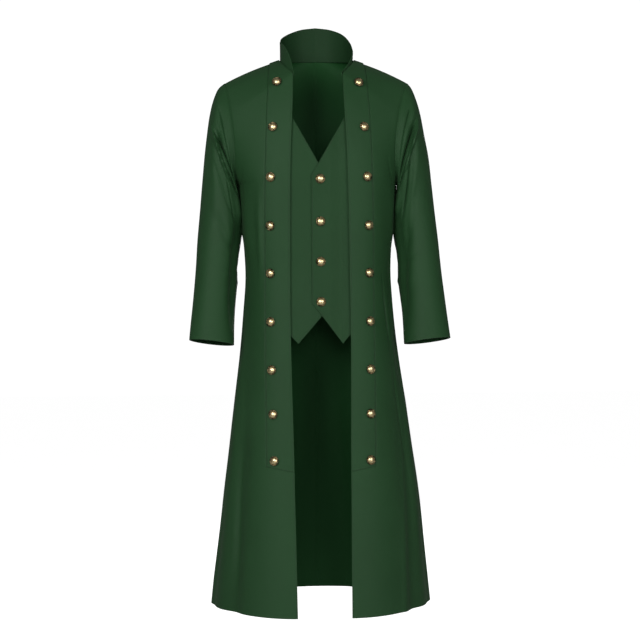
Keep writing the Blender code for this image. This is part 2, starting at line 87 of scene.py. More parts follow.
def calc(tree, operation, *values, **options):
    """The result of a Math node."""
    return result(tree, "ShaderNodeMath", dict(enumerate(values)), operation=operation, **options)


def in_scene(name, data):
    """A new object with this data, in the scene."""
    made = bpy.data.objects.new(name, data)
    bpy.context.scene.collection.objects.link(made)
    return made


print("dark green twill is", [round(c, 4) for c in linear("#1F4023")[:3]])

# %% [markdown]
# ## The cloth: a fine twill
# The coat is cut from a smooth, medium-weight twill suiting, woven in a worsted-like yarn
# and pressed. Its diagonal ribs lie about 0.5 mm apart on the real cloth, which is too fine
# for a whole-coat picture, so they are drawn at 1.3 mm and show only in close views. What
# the eye gets from afar is a matt, slightly milky face that pales where light grazes it,
# and soft uneven patches from pressing. Sheen gives the first, a slow noise on Object
# coordinates gives the second. The ribs follow the piece's own UV map, which is laid out
# in metres along the grain, so that they turn with each panel as woven ribs do.

# %% The weave
TWILL_PITCH = 0.0013
TWILL_LEAN = math.radians(62)
WAVE_PERIOD = 2 * math.pi / 20
FIBRE_SIZE = 0.0016
FIBRE_LIFT = 0.00025
PRESS_PATCH = 0.16
RIB_TONE = 0.34
PATCH_TONE = 0.55
GLOSS_SPREAD = 0.07


def new_material(name):
    """An empty material, its tree and its texture coordinates."""
    finish = bpy.data.materials.new(name)
    finish.use_nodes = True
    finish.node_tree.nodes.clear()
    return finish, finish.node_tree, add_node(finish.node_tree, "ShaderNodeTexCoord").outputs


def principled(tree, inputs):
    """End a material's tree with a principled shader."""
    shader = result(tree, "ShaderNodeBsdfPrincipled", inputs)
    add_node(tree, "ShaderNodeOutputMaterial", {"Surface": shader})


def grains(tree, place, scale, detail, roughness=0.5):
    """Noise that stays with the object."""
    return result(tree, "ShaderNodeTexNoise", {"Vector": place["Object"], "Scale": scale,
                                               "Detail": detail, "Roughness": roughness})


def blend(tree, share, low, high):
    """Two hex colours, mixed by a share."""
    colours = {0: share, 6: linear(low), 7: linear(high)}
    return add_node(tree, "ShaderNodeMix", colours, data_type="RGBA").outputs[2]


def between(tree, share, low, high):
    """A number from low to high as the share goes from 0 to 1."""
    return result(tree, "ShaderNodeMapRange", {"Value": share, "To Min": low, "To Max": high})


def bumped(tree, height, strength, distance, **more):
    """A surface normal that follows a height."""
    return result(tree, "ShaderNodeBump",
                  {"Strength": strength, "Distance": distance, "Height": height, **more})


def woven(name, deep, face, roughness, sheen, rib_depth, specular):
    """A twill: deep is the colour between its ribs, face the colour on them."""
    finish, tree, place = new_material(name)
    grain = result(tree, "ShaderNodeMapping",
                   {"Vector": place["UV"], "Rotation": (0.0, 0.0, TWILL_LEAN)})
    ribs = add_node(tree, "ShaderNodeTexWave",
                    {"Vector": grain, "Scale": WAVE_PERIOD / TWILL_PITCH, "Distortion": 0.7,
                     "Detail": 2.0, "Detail Scale": 1.5},
                    wave_type="BANDS", bands_direction="X").outputs[1]
    patches = grains(tree, place, 1 / PRESS_PATCH, 4.0, 0.55)
    tone = calc(tree, "MULTIPLY_ADD", patches, PATCH_TONE, calc(tree, "MULTIPLY", ribs, RIB_TONE))
    hair = bumped(tree, grains(tree, place, 1 / FIBRE_SIZE, 3.0), 0.35, FIBRE_LIFT)
    principled(tree, {
        "Base Color": blend(tree, tone, deep, face),
        "Roughness": between(tree, patches, roughness - GLOSS_SPREAD, roughness + GLOSS_SPREAD),
        "Normal": bumped(tree, ribs, 0.6, rib_depth, Normal=hair),
        "IOR": 1.5, "Specular IOR Level": specular,
        "Sheen Weight": sheen, "Sheen Roughness": 0.55, "Sheen Tint": linear("#B9CDB4")})
    return finish


coat_twill = woven("worsted_twill_bottle_green", "#1B3D1F", "#2A522F", 0.58, 0.04, 0.00018, 0.22)
waistcoat_twill = woven("worsted_twill_waistcoat", "#193B1D", "#274F2C", 0.60, 0.04, 0.00018, 0.20)
lining = woven("viscose_lining_dark_green", "#1B4521", "#24542C", 0.60, 0.0, 0.00006, 0.10)
# A darker copy of the coat's cloth for the collar's inner face: painted shade inside the neck.
collar_inside_painted_shade = woven("worsted_twill_collar_inside_painted_shade", "#16321A", "#224426", 0.60, 0.0, 0.00018, 0.16)
print("cloths:", coat_twill.name, waistcoat_twill.name, lining.name, collar_inside_painted_shade.name)

# %% [markdown]
# ## Brass and thread
# The buttons are stamped from brass sheet, polished and lacquered: a clear gold metal with
# sharp reflections. The rolled rim and the back plate are darkened by the antiquing dip that
# is wiped off the dome only, and darkened further, nearly to black, as painted shade for the
# shadow ring round each button. A number stored on the button's own points, named
# patina, says where the dark finish goes. The sewing thread is spun polyester,
# darker than the cloth as painted shade along the seams, and a little glossier than it.


# %% Brass and sewing thread
WEAR_SCALE = 420.0
PLY_SCALE = 2500.0
PATINA_AND_SHADE_GAIN = 1.75


def brass_rim_antiqued_and_painted_shade():
    """Polished brass, dark where the attribute patina is one: antiquing, with painted shade."""
    finish, tree, place = new_material("polished_brass_rim_antiqued_and_painted_shade")
    patina = add_node(tree, "ShaderNodeAttribute", attribute_name="patina").outputs["Fac"]
    wear = grains(tree, place, WEAR_SCALE, 4.0)
    # The dark finish is antiquing on the rim and plate, pushed nearly to black as painted shade: the
    # shadow ring round each button.
    dark = calc(tree, "MULTIPLY", calc(tree, "MULTIPLY", patina, wear), PATINA_AND_SHADE_GAIN, use_clamp=True)
    principled(tree, {"Base Color": blend(tree, dark, "#FAE3AE", "#080503"), "Metallic": 1.0,
                      "Roughness": between(tree, dark, 0.34, 0.55),
                      "Normal": bumped(tree, wear, 0.12, 0.0001)})
    return finish


def spun_thread():
    """Polyester sewing thread, darker than the cloth as painted shade along the seams."""
    finish, tree, place = new_material("spun_polyester_thread")
    ply = grains(tree, place, PLY_SCALE, 2.0)
    # Thread colour darker than the cloth: painted shade of the seam lines.
    principled(tree, {"Base Color": blend(tree, ply, "#0B1A0D", "#142C17"), "Roughness": 0.55,
                      "Specular IOR Level": 0.4, "Sheen Weight": 0.1})
    return finish


brass = brass_rim_antiqued_and_painted_shade()
thread = spun_thread()
print("trims:", brass.name, thread.name)

# %% [markdown]
# ## The coat's measures
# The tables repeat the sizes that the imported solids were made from. Heights are measured
# up from the hem. A level is that height up to the underarm; from there it counts on to
# the shoulder seam, so that one number runs up a whole panel.

# %% Walls, levels and edges
CARRY_HEIGHT = 1.285
WALL = 0.0020
LIGHT_WALL = 0.0016
UNDERARM = 1.00
NECK_CORNER = 1.16
SHOULDER = 1.24
NECK_RISE = 1.58
SHOULDER_BULGE = 0.0035
OPENING_SWAY = 0.0045
BODY_DEPTH = 0.14
ARC_TO_CHORD = 1.1
LAYER_GAP = 0.0001
SEAM_CLEAR = 0.0003
NEGLIGIBLE = 0.00001
# Columns of all edges: level, out from the middle, back from the shoulder line, height.
FRONT_EDGE = [
    (0, 0.0615, -0.172, 0), (0.144, 0.063, -0.158, 0.144), (0.259, 0.0645, -0.147, 0.259),
    (0.375, 0.0655, -0.136, 0.375), (0.49, 0.0675, -0.126, 0.49), (0.605, 0.069, -0.118, 0.605),
    (0.701, 0.0695, -0.112, 0.701), (0.785, 0.069, -0.109, 0.785), (0.905, 0.068, -0.115, 0.905),
    (1, 0.0665, -0.12, 1), (1.04, 0.065, -0.12, 1.063), (1.08, 0.062, -0.114, 1.126),
    (1.12, 0.059, -0.101, 1.19), (1.16, 0.0575, -0.079, 1.253),
]
FRONT_NECK = [
    (1.16, 0.0575, -0.079, 1.253), (1.18, 0.068, -0.061, 1.265), (1.2, 0.078, -0.041, 1.278),
    (1.22, 0.085, -0.02, 1.289), (1.24, 0.088, 0, 1.298),
]
SIDE_SEAM = [
    (0, 0.259, 0.012, 0), (0.144, 0.243, 0.01, 0.144), (0.259, 0.2305, 0.009, 0.259),
    (0.375, 0.2155, 0.008, 0.375), (0.49, 0.2015, 0.006, 0.49), (0.605, 0.187, 0.004, 0.605),
    (0.701, 0.178, 0.002, 0.701), (0.785, 0.172, 0, 0.785), (0.905, 0.175, 0, 0.905),
    (1, 0.183, 0, 1),
]
FRONT_ARMHOLE = [
    (1, 0.183, 0, 1), (1.04, 0.182, -0.034, 1.014), (1.08, 0.18, -0.057, 1.05),
    (1.12, 0.181, -0.065, 1.105), (1.16, 0.19, -0.057, 1.165), (1.2, 0.204, -0.032, 1.217),
    (1.22, 0.211, -0.015, 1.235), (1.24, 0.215, 0, 1.245),
]
BACK_ARMHOLE = [
    (1, 0.183, 0, 1), (1.04, 0.182, 0.032, 1.014), (1.08, 0.178, 0.053, 1.05),
    (1.12, 0.178, 0.06, 1.105), (1.16, 0.188, 0.053, 1.165), (1.2, 0.204, 0.03, 1.217),
    (1.22, 0.211, 0.015, 1.235), (1.24, 0.215, 0, 1.245),
]
BACK_CENTRE = [
    (0, 0, 0.186, 0), (0.144, 0, 0.172, 0.144), (0.259, 0, 0.16, 0.259), (0.375, 0, 0.148, 0.375),
    (0.49, 0, 0.135, 0.49), (0.605, 0, 0.119, 0.605), (0.701, 0, 0.103, 0.701),
    (0.785, 0, 0.094, 0.785), (0.905, 0, 0.104, 0.905), (1, 0, 0.117, 1), (1.04, 0, 0.122, 1.07),
    (1.08, 0, 0.121, 1.145), (1.12, 0, 0.11, 1.225), (1.16, 0, 0.083, 1.316),
]
BACK_NECK = [
    (1.16, 0, 0.083, 1.316), (1.18, 0.036, 0.076, 1.314), (1.2, 0.065, 0.056, 1.31),
    (1.22, 0.083, 0.029, 1.304), (1.24, 0.088, 0, 1.298),
]
# How much wider each side stands. Columns: level, wearer's left, right.
SIDE_SWAY = [
    (0, 0.0055, 0.003), (0.06, 0.0058, 0.0032), (0.12, 0.0062, 0.0018), (0.216, 0.008, 0),
    (0.3, 0.008, 0), (0.39, 0.006, 0), (0.475, 0.0042, 0), (0.605, 0.003, 0),
    (0.785, 0.0008, 0.0006), (0.87, 0.0024, 0.0036), (0.935, 0.0036, 0.0072), (1, 0.0036, 0.0066),
    (1.04, 0.0026, 0.0105), (1.08, 0.0016, 0.0145), (1.12, 0.001, 0.0155), (1.16, 0.001, 0.0135),
    (1.2, 0.0006, 0.008), (1.24, 0, 0.002),
]
# How far each section has turned where it ends, in degrees. Columns: level, front, back.
TURN = [
    (0, 60, 66), (0.4, 68, 72), (0.785, 84, 84), (1, 90, 90), (1.04, 77, 77), (1.08, 64, 63),
    (1.12, 54, 52), (1.16, 48, 44), (1.24, 40, 40),
]
# Where a band's seam runs. Columns: level, out from the middle.
BAND_SEAM = [
    (0, 0.122), (0.333, 0.124), (0.605, 0.125), (1, 0.123), (1.12, 0.119), (1.16, 0.115),
    (1.24, 0.111),
]
print("length from shoulder to hem:", BACK_NECK[-1][3], "m")


# %% Reading the tables
def smooth(table, place):
    """Read a table at a place, with a smooth curve through its rows."""
    last = len(table) - 1
    place = min(max(place, table[0][0]), table[last][0])
    k = 0
    while k < last - 1 and place > table[k + 1][0]:
        k += 1
    step = table[k + 1][0] - table[k][0]
    t = (place - table[k][0]) / step

    def slope(row, column):
        low = table[max(row - 1, 0)]
        high = table[min(row + 1, last)]
        return (high[column] - low[column]) / (high[0] - low[0])

    values = []
    for column in range(1, len(table[0])):
        a = table[k][column]
        b = table[k + 1][column]
        m = slope(k, column) * step
        n = slope(k + 1, column) * step
        values.append(
            a * (1 + 2 * t) * (1 - t) ** 2
            + m * t * (1 - t) ** 2
            + b * t * t * (3 - 2 * t)
            - n * t * t * (1 - t)
        )
    return values


def spaced(low, high, count):
    """Evenly spaced values from low to high, count steps apart."""
    return [low + (high - low) * k / count for k in range(count + 1)]


def fade(value, low, high, margin):
    """One between low and high, falling softly to nothing outside them."""
    if value < low:
        gap = (low - value) / margin
    elif value > high:
        gap = (value - high) / margin
    else:
        return 1.0
    return max(0.0, 1.0 - gap) ** 2 * (1.0 + 2.0 * min(gap, 1.0))


print("front edge at the waist:", [round(v, 4) for v in smooth(FRONT_EDGE, 0.785)])

# %% [markdown]
# ## Folds
# Cloth that hangs from the shoulders and flares to the hem drops in long soft folds, no two
# alike. Each one is a row of a table: where it starts and ends, how wide and how deep it
# is. Its cross-section is a bell curve, which is how a bending sheet turns over. Simulated
# cloth would fall differently at each change, and here the picture says where the folds
# lie, so they are placed one by one. Girth is 0 at the front edge, 1 at the side seam and 2
# at the centre back.

# %% Folds of the body
# Columns: side, girth at top and at bottom, level of top and of bottom, width, depth.
BODY_FOLDS = [
    (1, 0.93, 0.86, 0.76, 0.44, 0.085, -0.006), (1, 0.88, 0.78, 0.6, -0.1, 0.1, 0.006),
    (1, 0.72, 0.64, 0.45, -0.2, 0.09, -0.005), (1, 1.26, 1.24, 0.66, -0.15, 0.11, -0.007),
    (1, 1.42, 1.38, 0.72, -0.2, 0.12, 0.006), (1, 1.68, 1.62, 0.62, -0.2, 0.11, -0.006),
    (-1, 0.84, 0.8, 0.66, -0.15, 0.1, 0.006), (-1, 0.66, 0.6, 0.5, -0.2, 0.09, -0.0055),
    (-1, 1.18, 1.24, 0.6, -0.15, 0.11, -0.0065), (-1, 1.4, 1.46, 0.7, -0.2, 0.12, 0.0065),
    (-1, 1.66, 1.6, 0.64, -0.2, 0.11, -0.0055), (1, 0.7, 0.82, 1.02, 0.84, 0.11, 0.0035),
    (-1, 0.66, 0.74, 0.99, 0.8, 0.11, 0.004),
]
FINE_FOLDS = [
    (1, 0.555, 0.7, 0.8, 0.57, 0.02, -0.0042), (1, 0.66, 0.77, 0.6, 0.3, 0.022, -0.0036),
    (1, 0.72, 0.52, 0.44, -0.1, 0.045, 0.0034), (-1, 0.77, 0.6, 0.5, 0.02, 0.05, -0.0036),
    (-1, 0.38, 0.5, 1.02, 0.74, 0.05, 0.0034), (1, 1, 1, 1.02, 0.84, 0.07, 0.0066),
    (1, 0.86, 0.8, 0.9, 0.55, 0.03, -0.0022), (1, 0.9, 0.83, 0.88, 0.52, 0.026, 0.0018),
    (1, 0.8, 0.74, 0.52, 0.08, 0.035, -0.002), (1, 0.95, 0.9, 0.34, -0.1, 0.04, -0.0016),
    (1, 0.6, 0.57, 0.3, -0.2, 0.06, 0.0016), (1, 0.78, 0.7, 1.1, 0.93, 0.04, -0.0016),
    (1, 0.88, 0.84, 1.06, 0.9, 0.035, -0.0018), (1, 1.12, 1.16, 0.86, 0.6, 0.035, -0.0018),
    (1, 1.3, 1.27, 0.9, 0.66, 0.045, 0.002), (1, 1.52, 1.5, 0.8, 0.52, 0.05, -0.002),
    (1, 1.8, 1.76, 0.5, -0.1, 0.05, 0.0022), (1, 1.06, 1.1, 1.05, 0.92, 0.035, -0.002),
    (1, 1.22, 1.14, 1.14, 0.98, 0.045, -0.0018), (-1, 1, 1, 1.03, 0.85, 0.06, 0.0062),
    (-1, 0.9, 0.88, 0.86, 0.5, 0.032, -0.0018), (-1, 0.74, 0.7, 0.54, 0.05, 0.035, 0.0016),
    (-1, 0.94, 0.92, 0.3, -0.1, 0.045, -0.0018), (-1, 0.56, 0.53, 0.26, -0.2, 0.06, 0.0015),
    (-1, 0.8, 0.72, 1.08, 0.9, 0.038, -0.0017), (-1, 0.9, 0.87, 1.05, 0.88, 0.032, -0.0018),
    (-1, 1.1, 1.15, 0.84, 0.56, 0.035, -0.0017), (-1, 1.34, 1.3, 0.88, 0.62, 0.045, 0.0021),
    (-1, 1.56, 1.5, 0.78, 0.48, 0.05, -0.0018), (-1, 1.82, 1.8, 0.46, -0.1, 0.055, 0.002),
    (-1, 1.07, 1.12, 1.04, 0.9, 0.035, -0.0019), (-1, 1.24, 1.17, 1.12, 0.96, 0.045, -0.0016),
]
FOLD_FADE = 0.14
UNEVEN = 0.0011


def folds_at(side, level):
    """Centre, width and reach of each fold that crosses a level."""
    crossing = []
    for which, top_girth, bottom_girth, top, bottom, width, depth in BODY_FOLDS + FINE_FOLDS:
        margin = min(FOLD_FADE, 0.45 * (top - bottom))
        reach = depth * fade(level, bottom + margin, top - margin, margin)
        if which == side and abs(reach) > NEGLIGIBLE:
            share = (top - level) / (top - bottom)
            crossing.append((top_girth + (bottom_girth - top_girth) * share, width, reach))
    return crossing


print(len(BODY_FOLDS), "large folds and", len(FINE_FOLDS), "fine ones")

# %% [markdown]
# ## A point on a panel
# A panel is a sheet between two edges: the inner one, nearest the coat's opening or its
# centre back, and the outer one at the side seam and the armhole. A level cuts it in a
# piece of an ellipse, which starts square to the middle of the body and has turned by a
# given angle where it ends. The folds push that section in and out. One function gives any
# point of the cloth's inside, and all fronts, backs, bands and buttons are placed with it.


# %% Edges, sections and points
def inner_edge(part, side, level):
    """The edge of a panel that is nearest the middle of the coat."""
    if part == "back":
        return Vector(smooth(BACK_CENTRE if level <= NECK_CORNER else BACK_NECK, level))
    edge = Vector(smooth(FRONT_EDGE if level <= NECK_CORNER else FRONT_NECK, level))
    edge.x += side * OPENING_SWAY * max(0.0, UNDERARM - level)
    return edge


def outer_edge(part, side, level):
    """The edge of a panel at the side seam and the armhole."""
    armhole = FRONT_ARMHOLE if part == "front" else BACK_ARMHOLE
    edge = Vector(smooth(SIDE_SEAM if level <= UNDERARM else armhole, level))
    edge.x += smooth(SIDE_SWAY, level)[0 if side > 0 else 1]
    return edge


@lru_cache(maxsize=4096)
def section(part, side, level):
    """All about a panel that depends on the level alone."""
    front, back = smooth(TURN, level)
    inner = inner_edge(part, side, level)
    outer = outer_edge(part, side, level)
    turn = math.radians(front if part == "front" else back)
    width = (outer - inner).length * ARC_TO_CHORD
    return inner, outer, turn, width, folds_at(side, level)


def panel_point(part, side, u, level):
    """A point of a panel's inside. u runs from the inner edge, 0, to the outer edge, 1."""
    inner, outer, turn, width, folds = section(part, side, level)
    share = math.sin(u * turn) / math.sin(turn)
    bend = (math.cos(u * turn) - math.cos(turn)) / (1.0 - math.cos(turn))
    x = inner.x + (outer.x - inner.x) * share
    y = outer.y + (inner.y - outer.y) * bend
    z = inner.z + (outer.z - inner.z) * share
    rise = max(0.0, (level - NECK_CORNER) / (SHOULDER - NECK_CORNER))
    z += SHOULDER_BULGE * rise * math.sin(math.pi * u)
    girth = u if part == "front" else 2.0 - u
    fold = sum(reach * math.exp(-(((girth - centre) / wide) ** 2)) for centre, wide, reach in folds)
    fold += UNEVEN * noise.noise(Vector((side * x * 9.0, y * 9.0 + 3.0, z * 5.0)))
    out = Vector((x / outer.x**2, y / BODY_DEPTH**2, 0.0)).normalized()
    return Vector((side * (x + out.x * fold), y + out.y * fold, z))


def share_at(side, level, x):
    """The u of a front panel at which it reaches x."""
    inner, outer, turn, width, folds = section("front", side, level)
    share = (x - inner.x) / (outer.x - inner.x)
    return math.asin(min(1.0, max(0.0, share)) * math.sin(turn)) / turn


print("side seam at the waist:", [round(v, 3) for v in panel_point("front", 1, 1.0, 0.785)])

# %% [markdown]
# ## From a grid of points to cloth
# Every cloth piece is a grid of points, and each is finished in the same way. The UV map is
# laid out in metres by walking along the rows and up the columns, so that the weave keeps
# its size. Solidify gives the cloth its thickness and puts a second material on the inside:
# the lining, or the coat's own cloth where a facing or a hem is turned in. A small Bevel
# rounds the edges as a pressed fold is rounded.


# %% Cloth from a grid
SIDES = ((1, "left"), (-1, "right"))
EDGE_ROUND = 0.3
EDGE_ANGLE = math.radians(55)


def laid_out(rows, closed):
    """Distances along the rows and up the grid, in metres, for the UV map."""
    across = []
    for row in rows:
        walk = [0.0]
        for a, b in zip(row, row[1:] + row[:1] if closed else row[1:]):
            walk.append(walk[-1] + (b - a).length)
        middle = walk[-1] / 2
        across.append([value - middle for value in walk])
    up = [0.0]
    pick = len(rows[0]) // 2
    for low, high in zip(rows, rows[1:]):
        up.append(up[-1] + (high[pick] - low[pick]).length)
    return across, up


def cloth_piece(name, rows, finishes, thickness, offset, flip, closed=False, turned_in=None):
    """A sheet of cloth from a grid of points. finishes are its outside and its inside."""
    count = len(rows[0])
    across, up = laid_out(rows, closed)
    verts = [(p.x, p.y, p.z - CARRY_HEIGHT) for row in rows for p in row]
    faces = []
    layout = []
    picks = []
    for j in range(len(rows) - 1):
        for k in range(count if closed else count - 1):
            b = (k + 1) % count
            quad = [j * count + k, j * count + b, (j + 1) * count + b, (j + 1) * count + k]
            flat = [(across[j][k], up[j]), (across[j][k + 1], up[j]),
                    (across[j + 1][k + 1], up[j + 1]), (across[j + 1][k], up[j + 1])]
            faces.append(quad[::-1] if flip else quad)
            layout += flat[::-1] if flip else flat
            picks.append(2 if turned_in and turned_in(j, k) else 0)
    mesh = bpy.data.meshes.new(name)
    mesh.from_pydata(verts, [], faces)
    mesh.uv_layers.new(name="grain").data.foreach_set("uv", [c for pair in layout for c in pair])
    mesh.shade_smooth()
    outside, inside = finishes
    for finish in (outside, inside, outside, outside):
        mesh.materials.append(finish)
    mesh.polygons.foreach_set("material_index", picks)
    piece = in_scene(name, mesh)
    wall = piece.modifiers.new("wall", "SOLIDIFY")
    wall.thickness = thickness
    wall.offset = offset
    wall.material_offset = 1
    wall.material_offset_rim = 0
    pressed = piece.modifiers.new("pressed edge", "BEVEL")
    pressed.width = thickness * EDGE_ROUND
    pressed.segments = 2
    pressed.limit_method = "ANGLE"
    pressed.angle_limit = EDGE_ANGLE
    pressed.harden_normals = True
    area = sum(face.area for face in mesh.polygons)
    widest = max(row[-1] - row[0] for row in across)
    print(f"{name}: {len(faces)} faces, {widest:.3f} by {up[-1]:.3f} m, {area:.4f} square metres")
    return piece


def moved_out(rows, distance, flip, relief=None):
    """Move a grid along its own normals by a distance, plus a relief at row j, column k."""
    moved_rows = []
    last_row = len(rows) - 1
    last = len(rows[0]) - 1
    for j, row in enumerate(rows):
        moved = []
        for k, point in enumerate(row):
            across = row[min(k + 1, last)] - row[max(k - 1, 0)]
            along = rows[min(j + 1, last_row)][k] - rows[max(j - 1, 0)][k]
            normal = across.cross(along).normalized()
            shift = distance + (relief(j, k, point) if relief else 0.0)
            moved.append(point + normal * (-shift if flip else shift))
        moved_rows.append(moved)
    return moved_rows


print("cloth is", WALL * 1000, "mm thick at the panels and", LIGHT_WALL * 1000, "mm at the bands")

# %% [markdown]
# ## Fronts and backs
# Two fronts and two backs are sewn at the sides, the shoulders and the centre back. At a
# seam the cloth is pulled in by the thread and the two layers turned inside, which leaves a
# shallow groove about 4 mm wide. The grid gets extra columns beside each seam to show it,
# and the panels overlap by a hair there, as sewn cloth does, so that no light comes
# through. The fronts' own cloth is turned in behind their front edges and at their hem. A
# narrow groove beside each button band shows where the band's edge presses into the front.

# %% Rows, columns and seam grooves
BAND_END_FRONT = 0.3285
BAND_END_SEAM = 0.3400
LOWER_ROWS = 130
UPPER_ROWS = 56
BAND_COLUMNS = 16
FRONT_COLUMNS = 56
BACK_COLUMNS = 78
SEAM_GROOVE = 0.0009
GROOVE_WIDTH = 0.0038
SEAM_LAP = 0.0003
HEM_TURN = 0.035
FACED_COLUMNS = BAND_COLUMNS + 6
BESIDE_SEAM = (0.0090, 0.0060, 0.0040, 0.0025, 0.0012)
BESIDE_BAND = (0.0008, 0.0016, 0.0024, 0.0034, 0.0050)
BAND_GROOVE = 0.0017
BAND_GROOVE_AT = 0.0014
BAND_GROOVE_WIDTH = 0.0012


def levels(low, high):
    """The levels of the rows from low to high, both included."""
    return spaced(low, UNDERARM, LOWER_ROWS)[:-1] + spaced(UNDERARM, high, UPPER_ROWS)


def panel_columns(part, side, level):
    """The u of each column, closer together beside the seams."""
    width = section(part, side, level)[3]
    beside = [d / width for d in BESIDE_SEAM]
    end = [1.0 - d for d in beside] + [1.0]
    if part == "back":
        start = [0.0] + beside[::-1]
        count = BACK_COLUMNS
    else:
        band = share_at(side, level, smooth(BAND_SEAM, level)[0])
        start = spaced(0.0, band, BAND_COLUMNS) + [band + d / width for d in BESIDE_BAND]
        count = FRONT_COLUMNS
    return start + spaced(start[-1], end[0], count)[1:-1] + end


def groove(distance):
    """How far a seam draws the cloth in at a distance from it."""
    return -SEAM_GROOVE * math.exp(-((distance / GROOVE_WIDTH) ** 2))


def panel_rows(part, side):
    """The grid of a front or back panel, hem to shoulder, with its seam grooves."""
    rows = []
    grooves = []
    for level in levels(0.0, SHOULDER):
        row = []
        draw = []
        width = section(part, side, level)[3]
        for u in panel_columns(part, side, level):
            point = panel_point(part, side, u, level)
            if part == "back" and u == 0.0 and level <= NECK_CORNER:
                point.x -= side * SEAM_LAP
            if (u == 1.0 and level <= UNDERARM) or level > SHOULDER - LAYER_GAP:
                point.y += -SEAM_LAP if part == "back" else SEAM_LAP
            row.append(point)
            pull = groove((1.0 - u) * width) + groove((SHOULDER - level) * ARC_TO_CHORD)
            if part == "back":
                pull += groove(u * width)
            pull = max(pull, -SEAM_GROOVE)
            if part == "front" and level > BAND_END_SEAM:
                beside = (u - share_at(side, level, smooth(BAND_SEAM, level)[0])) * width
                pull -= BAND_GROOVE * math.exp(-(((beside - BAND_GROOVE_AT) / BAND_GROOVE_WIDTH) ** 2))
            draw.append(pull)
        rows.append(row)
        grooves.append(draw)
    flip = (side < 0) != (part == "back")
    return moved_out(rows, 0.0, flip, lambda j, k, point: grooves[j][k]), flip


print(len(levels(0.0, SHOULDER)), "rows,", len(panel_columns("back", 1, 0.5)), "columns on the back")

# %% Cut and sew the four panels
HEM_ROWS = sum(level < HEM_TURN for level in levels(0.0, SHOULDER))


def faced(row, column):
    """Where the fronts' own cloth is turned in: front edge and hem."""
    return column < FACED_COLUMNS or row < HEM_ROWS


cloth = {}
for part, turned_in in (("front", faced), ("back", None)):
    for side, word in SIDES:
        rows, flip = panel_rows(part, side)
        cloth[f"{part}_{word}"] = cloth_piece(f"{part}_{word}_cloth", rows, (coat_twill, lining),
                                              WALL, 1.0, flip, False, turned_in)

# %% [markdown]
# ## Button bands
# A band of the same cloth is stitched on along each front edge, from the shoulder to a
# third of the way up from the hem, where it ends a little lower at the front than at its
# seam. It follows the front under it, so it is made from the front's own points, moved out
# by the cloth's thickness. Each button's thread pulls a shallow dimple, and the seam along
# the band's edge puckers slightly. The top pair of buttons sits where the front slopes
# back to the shoulder, so it hangs forward on a longer thread.

# %% Where the buttons sit
BAND_LIFT = WALL + LAYER_GAP
BUTTON_INSET = 0.0440
BUTTON_TOP_INSET = 0.0360
TOP_TIP = 0.9
TOP_SHANK = 0.0025
BAND_BUTTONS = [1.231, 1.124, 1.008, 0.896, 0.786, 0.673, 0.562, 0.460, 0.354]


def level_at(side, inset, height):
    """The level at which a front reaches a height, so far in from its edge."""
    low = 0.0
    high = NECK_CORNER
    for _ in range(20):
        level = (low + high) / 2
        u = share_at(side, level, inner_edge("front", side, level).x + inset)
        if panel_point("front", side, u, level).z < height:
            low = level
        else:
            high = level
    return level


def on_front(side, u, level, lift):
    """A point on a front, lifted off its inside, and the way it faces."""
    here = panel_point("front", side, u, level)
    over = panel_point("front", side, u + 0.02, level) - here
    up = panel_point("front", side, u, level + 0.01) - here
    out = over.cross(up).normalized() * side
    return here + out * lift, out


seats = []
for side, word in SIDES:
    for number, height in enumerate(BAND_BUTTONS):
        inset = BUTTON_INSET if number else BUTTON_TOP_INSET
        level = level_at(side, inset, height)
        u = share_at(side, level, inner_edge("front", side, level).x + inset)
        seat, out = on_front(side, u, level, WALL + LIGHT_WALL + LAYER_GAP)
        if number == 0:
            out = (out + Vector((0.0, -TOP_TIP, 0.0))).normalized()
            seat += out * TOP_SHANK
        seats.append((seat, out))
print(len(seats), "seats, the lowest at", round(min(p.z for p, out in seats), 3), "m above the hem")

# %% Sew on the bands
BAND_ROWS = 190
BAND_ACROSS = 22
BAND_WIDTH = 0.057
PUCKER = 0.00035
PUCKER_REACH = 0.008
DIMPLE = 0.0007
DIMPLE_WIDTH = 0.013


def band_level(share, up):
    """The level of a band's point: share across from the front edge, up from its end."""
    end = BAND_END_FRONT + (BAND_END_SEAM - BAND_END_FRONT) * share
    return end + (SHOULDER - end) * up


def band_u(side, share, level):
    """The u of a band's point, share across from the front edge to the seam."""
    edge = inner_edge("front", side, level).x
    return share_at(side, level, edge + (smooth(BAND_SEAM, level)[0] - edge) * share)


def band_rows(side):
    """A band's grid, laid on the front."""
    rows = []
    for up in spaced(0.0, 1.0, BAND_ROWS):
        row = []
        for share in spaced(0.0, 1.0, BAND_ACROSS):
            level = band_level(share, up)
            row.append(panel_point("front", side, band_u(side, share, level), level))
        rows.append(row)
    return rows


def band_relief(side):
    """Dimples at the buttons and small puckers along the stitched edge."""
    own = [p for p, out in seats if p.x * side > 0]

    def relief(j, k, point):
        near = min((point - p).length for p in own)
        edge = math.exp(-(((1.0 - k / BAND_ACROSS) * BAND_WIDTH / PUCKER_REACH) ** 2))
        pucker = PUCKER * edge * noise.noise(Vector((side * 7.0, 0.0, point.z * 70.0)))
        return pucker - DIMPLE * math.exp(-((near / DIMPLE_WIDTH) ** 2))
    return relief


for side, word in SIDES:
    rows = moved_out(band_rows(side), BAND_LIFT, side < 0, band_relief(side))
    cloth[f"button_band_{word}"] = cloth_piece(f"band_{word}_cloth", rows, (coat_twill, coat_twill),
                                               LIGHT_WALL, 1.0, side < 0)

# %% [markdown]
# ## Sleeves
# Each sleeve is one tube from the armhole to the open cuff, bent a little at the elbow as
# a tailored sleeve is. Rings between an outer and an inner line carry it, and the armhole's
# own outline fades out of the rings down the sleeve. Where the arm hangs down, cloth
# gathers under the arm and fans out from there in creases, front and back. The first ring
# lies inside the armhole, as the seam allowance does.

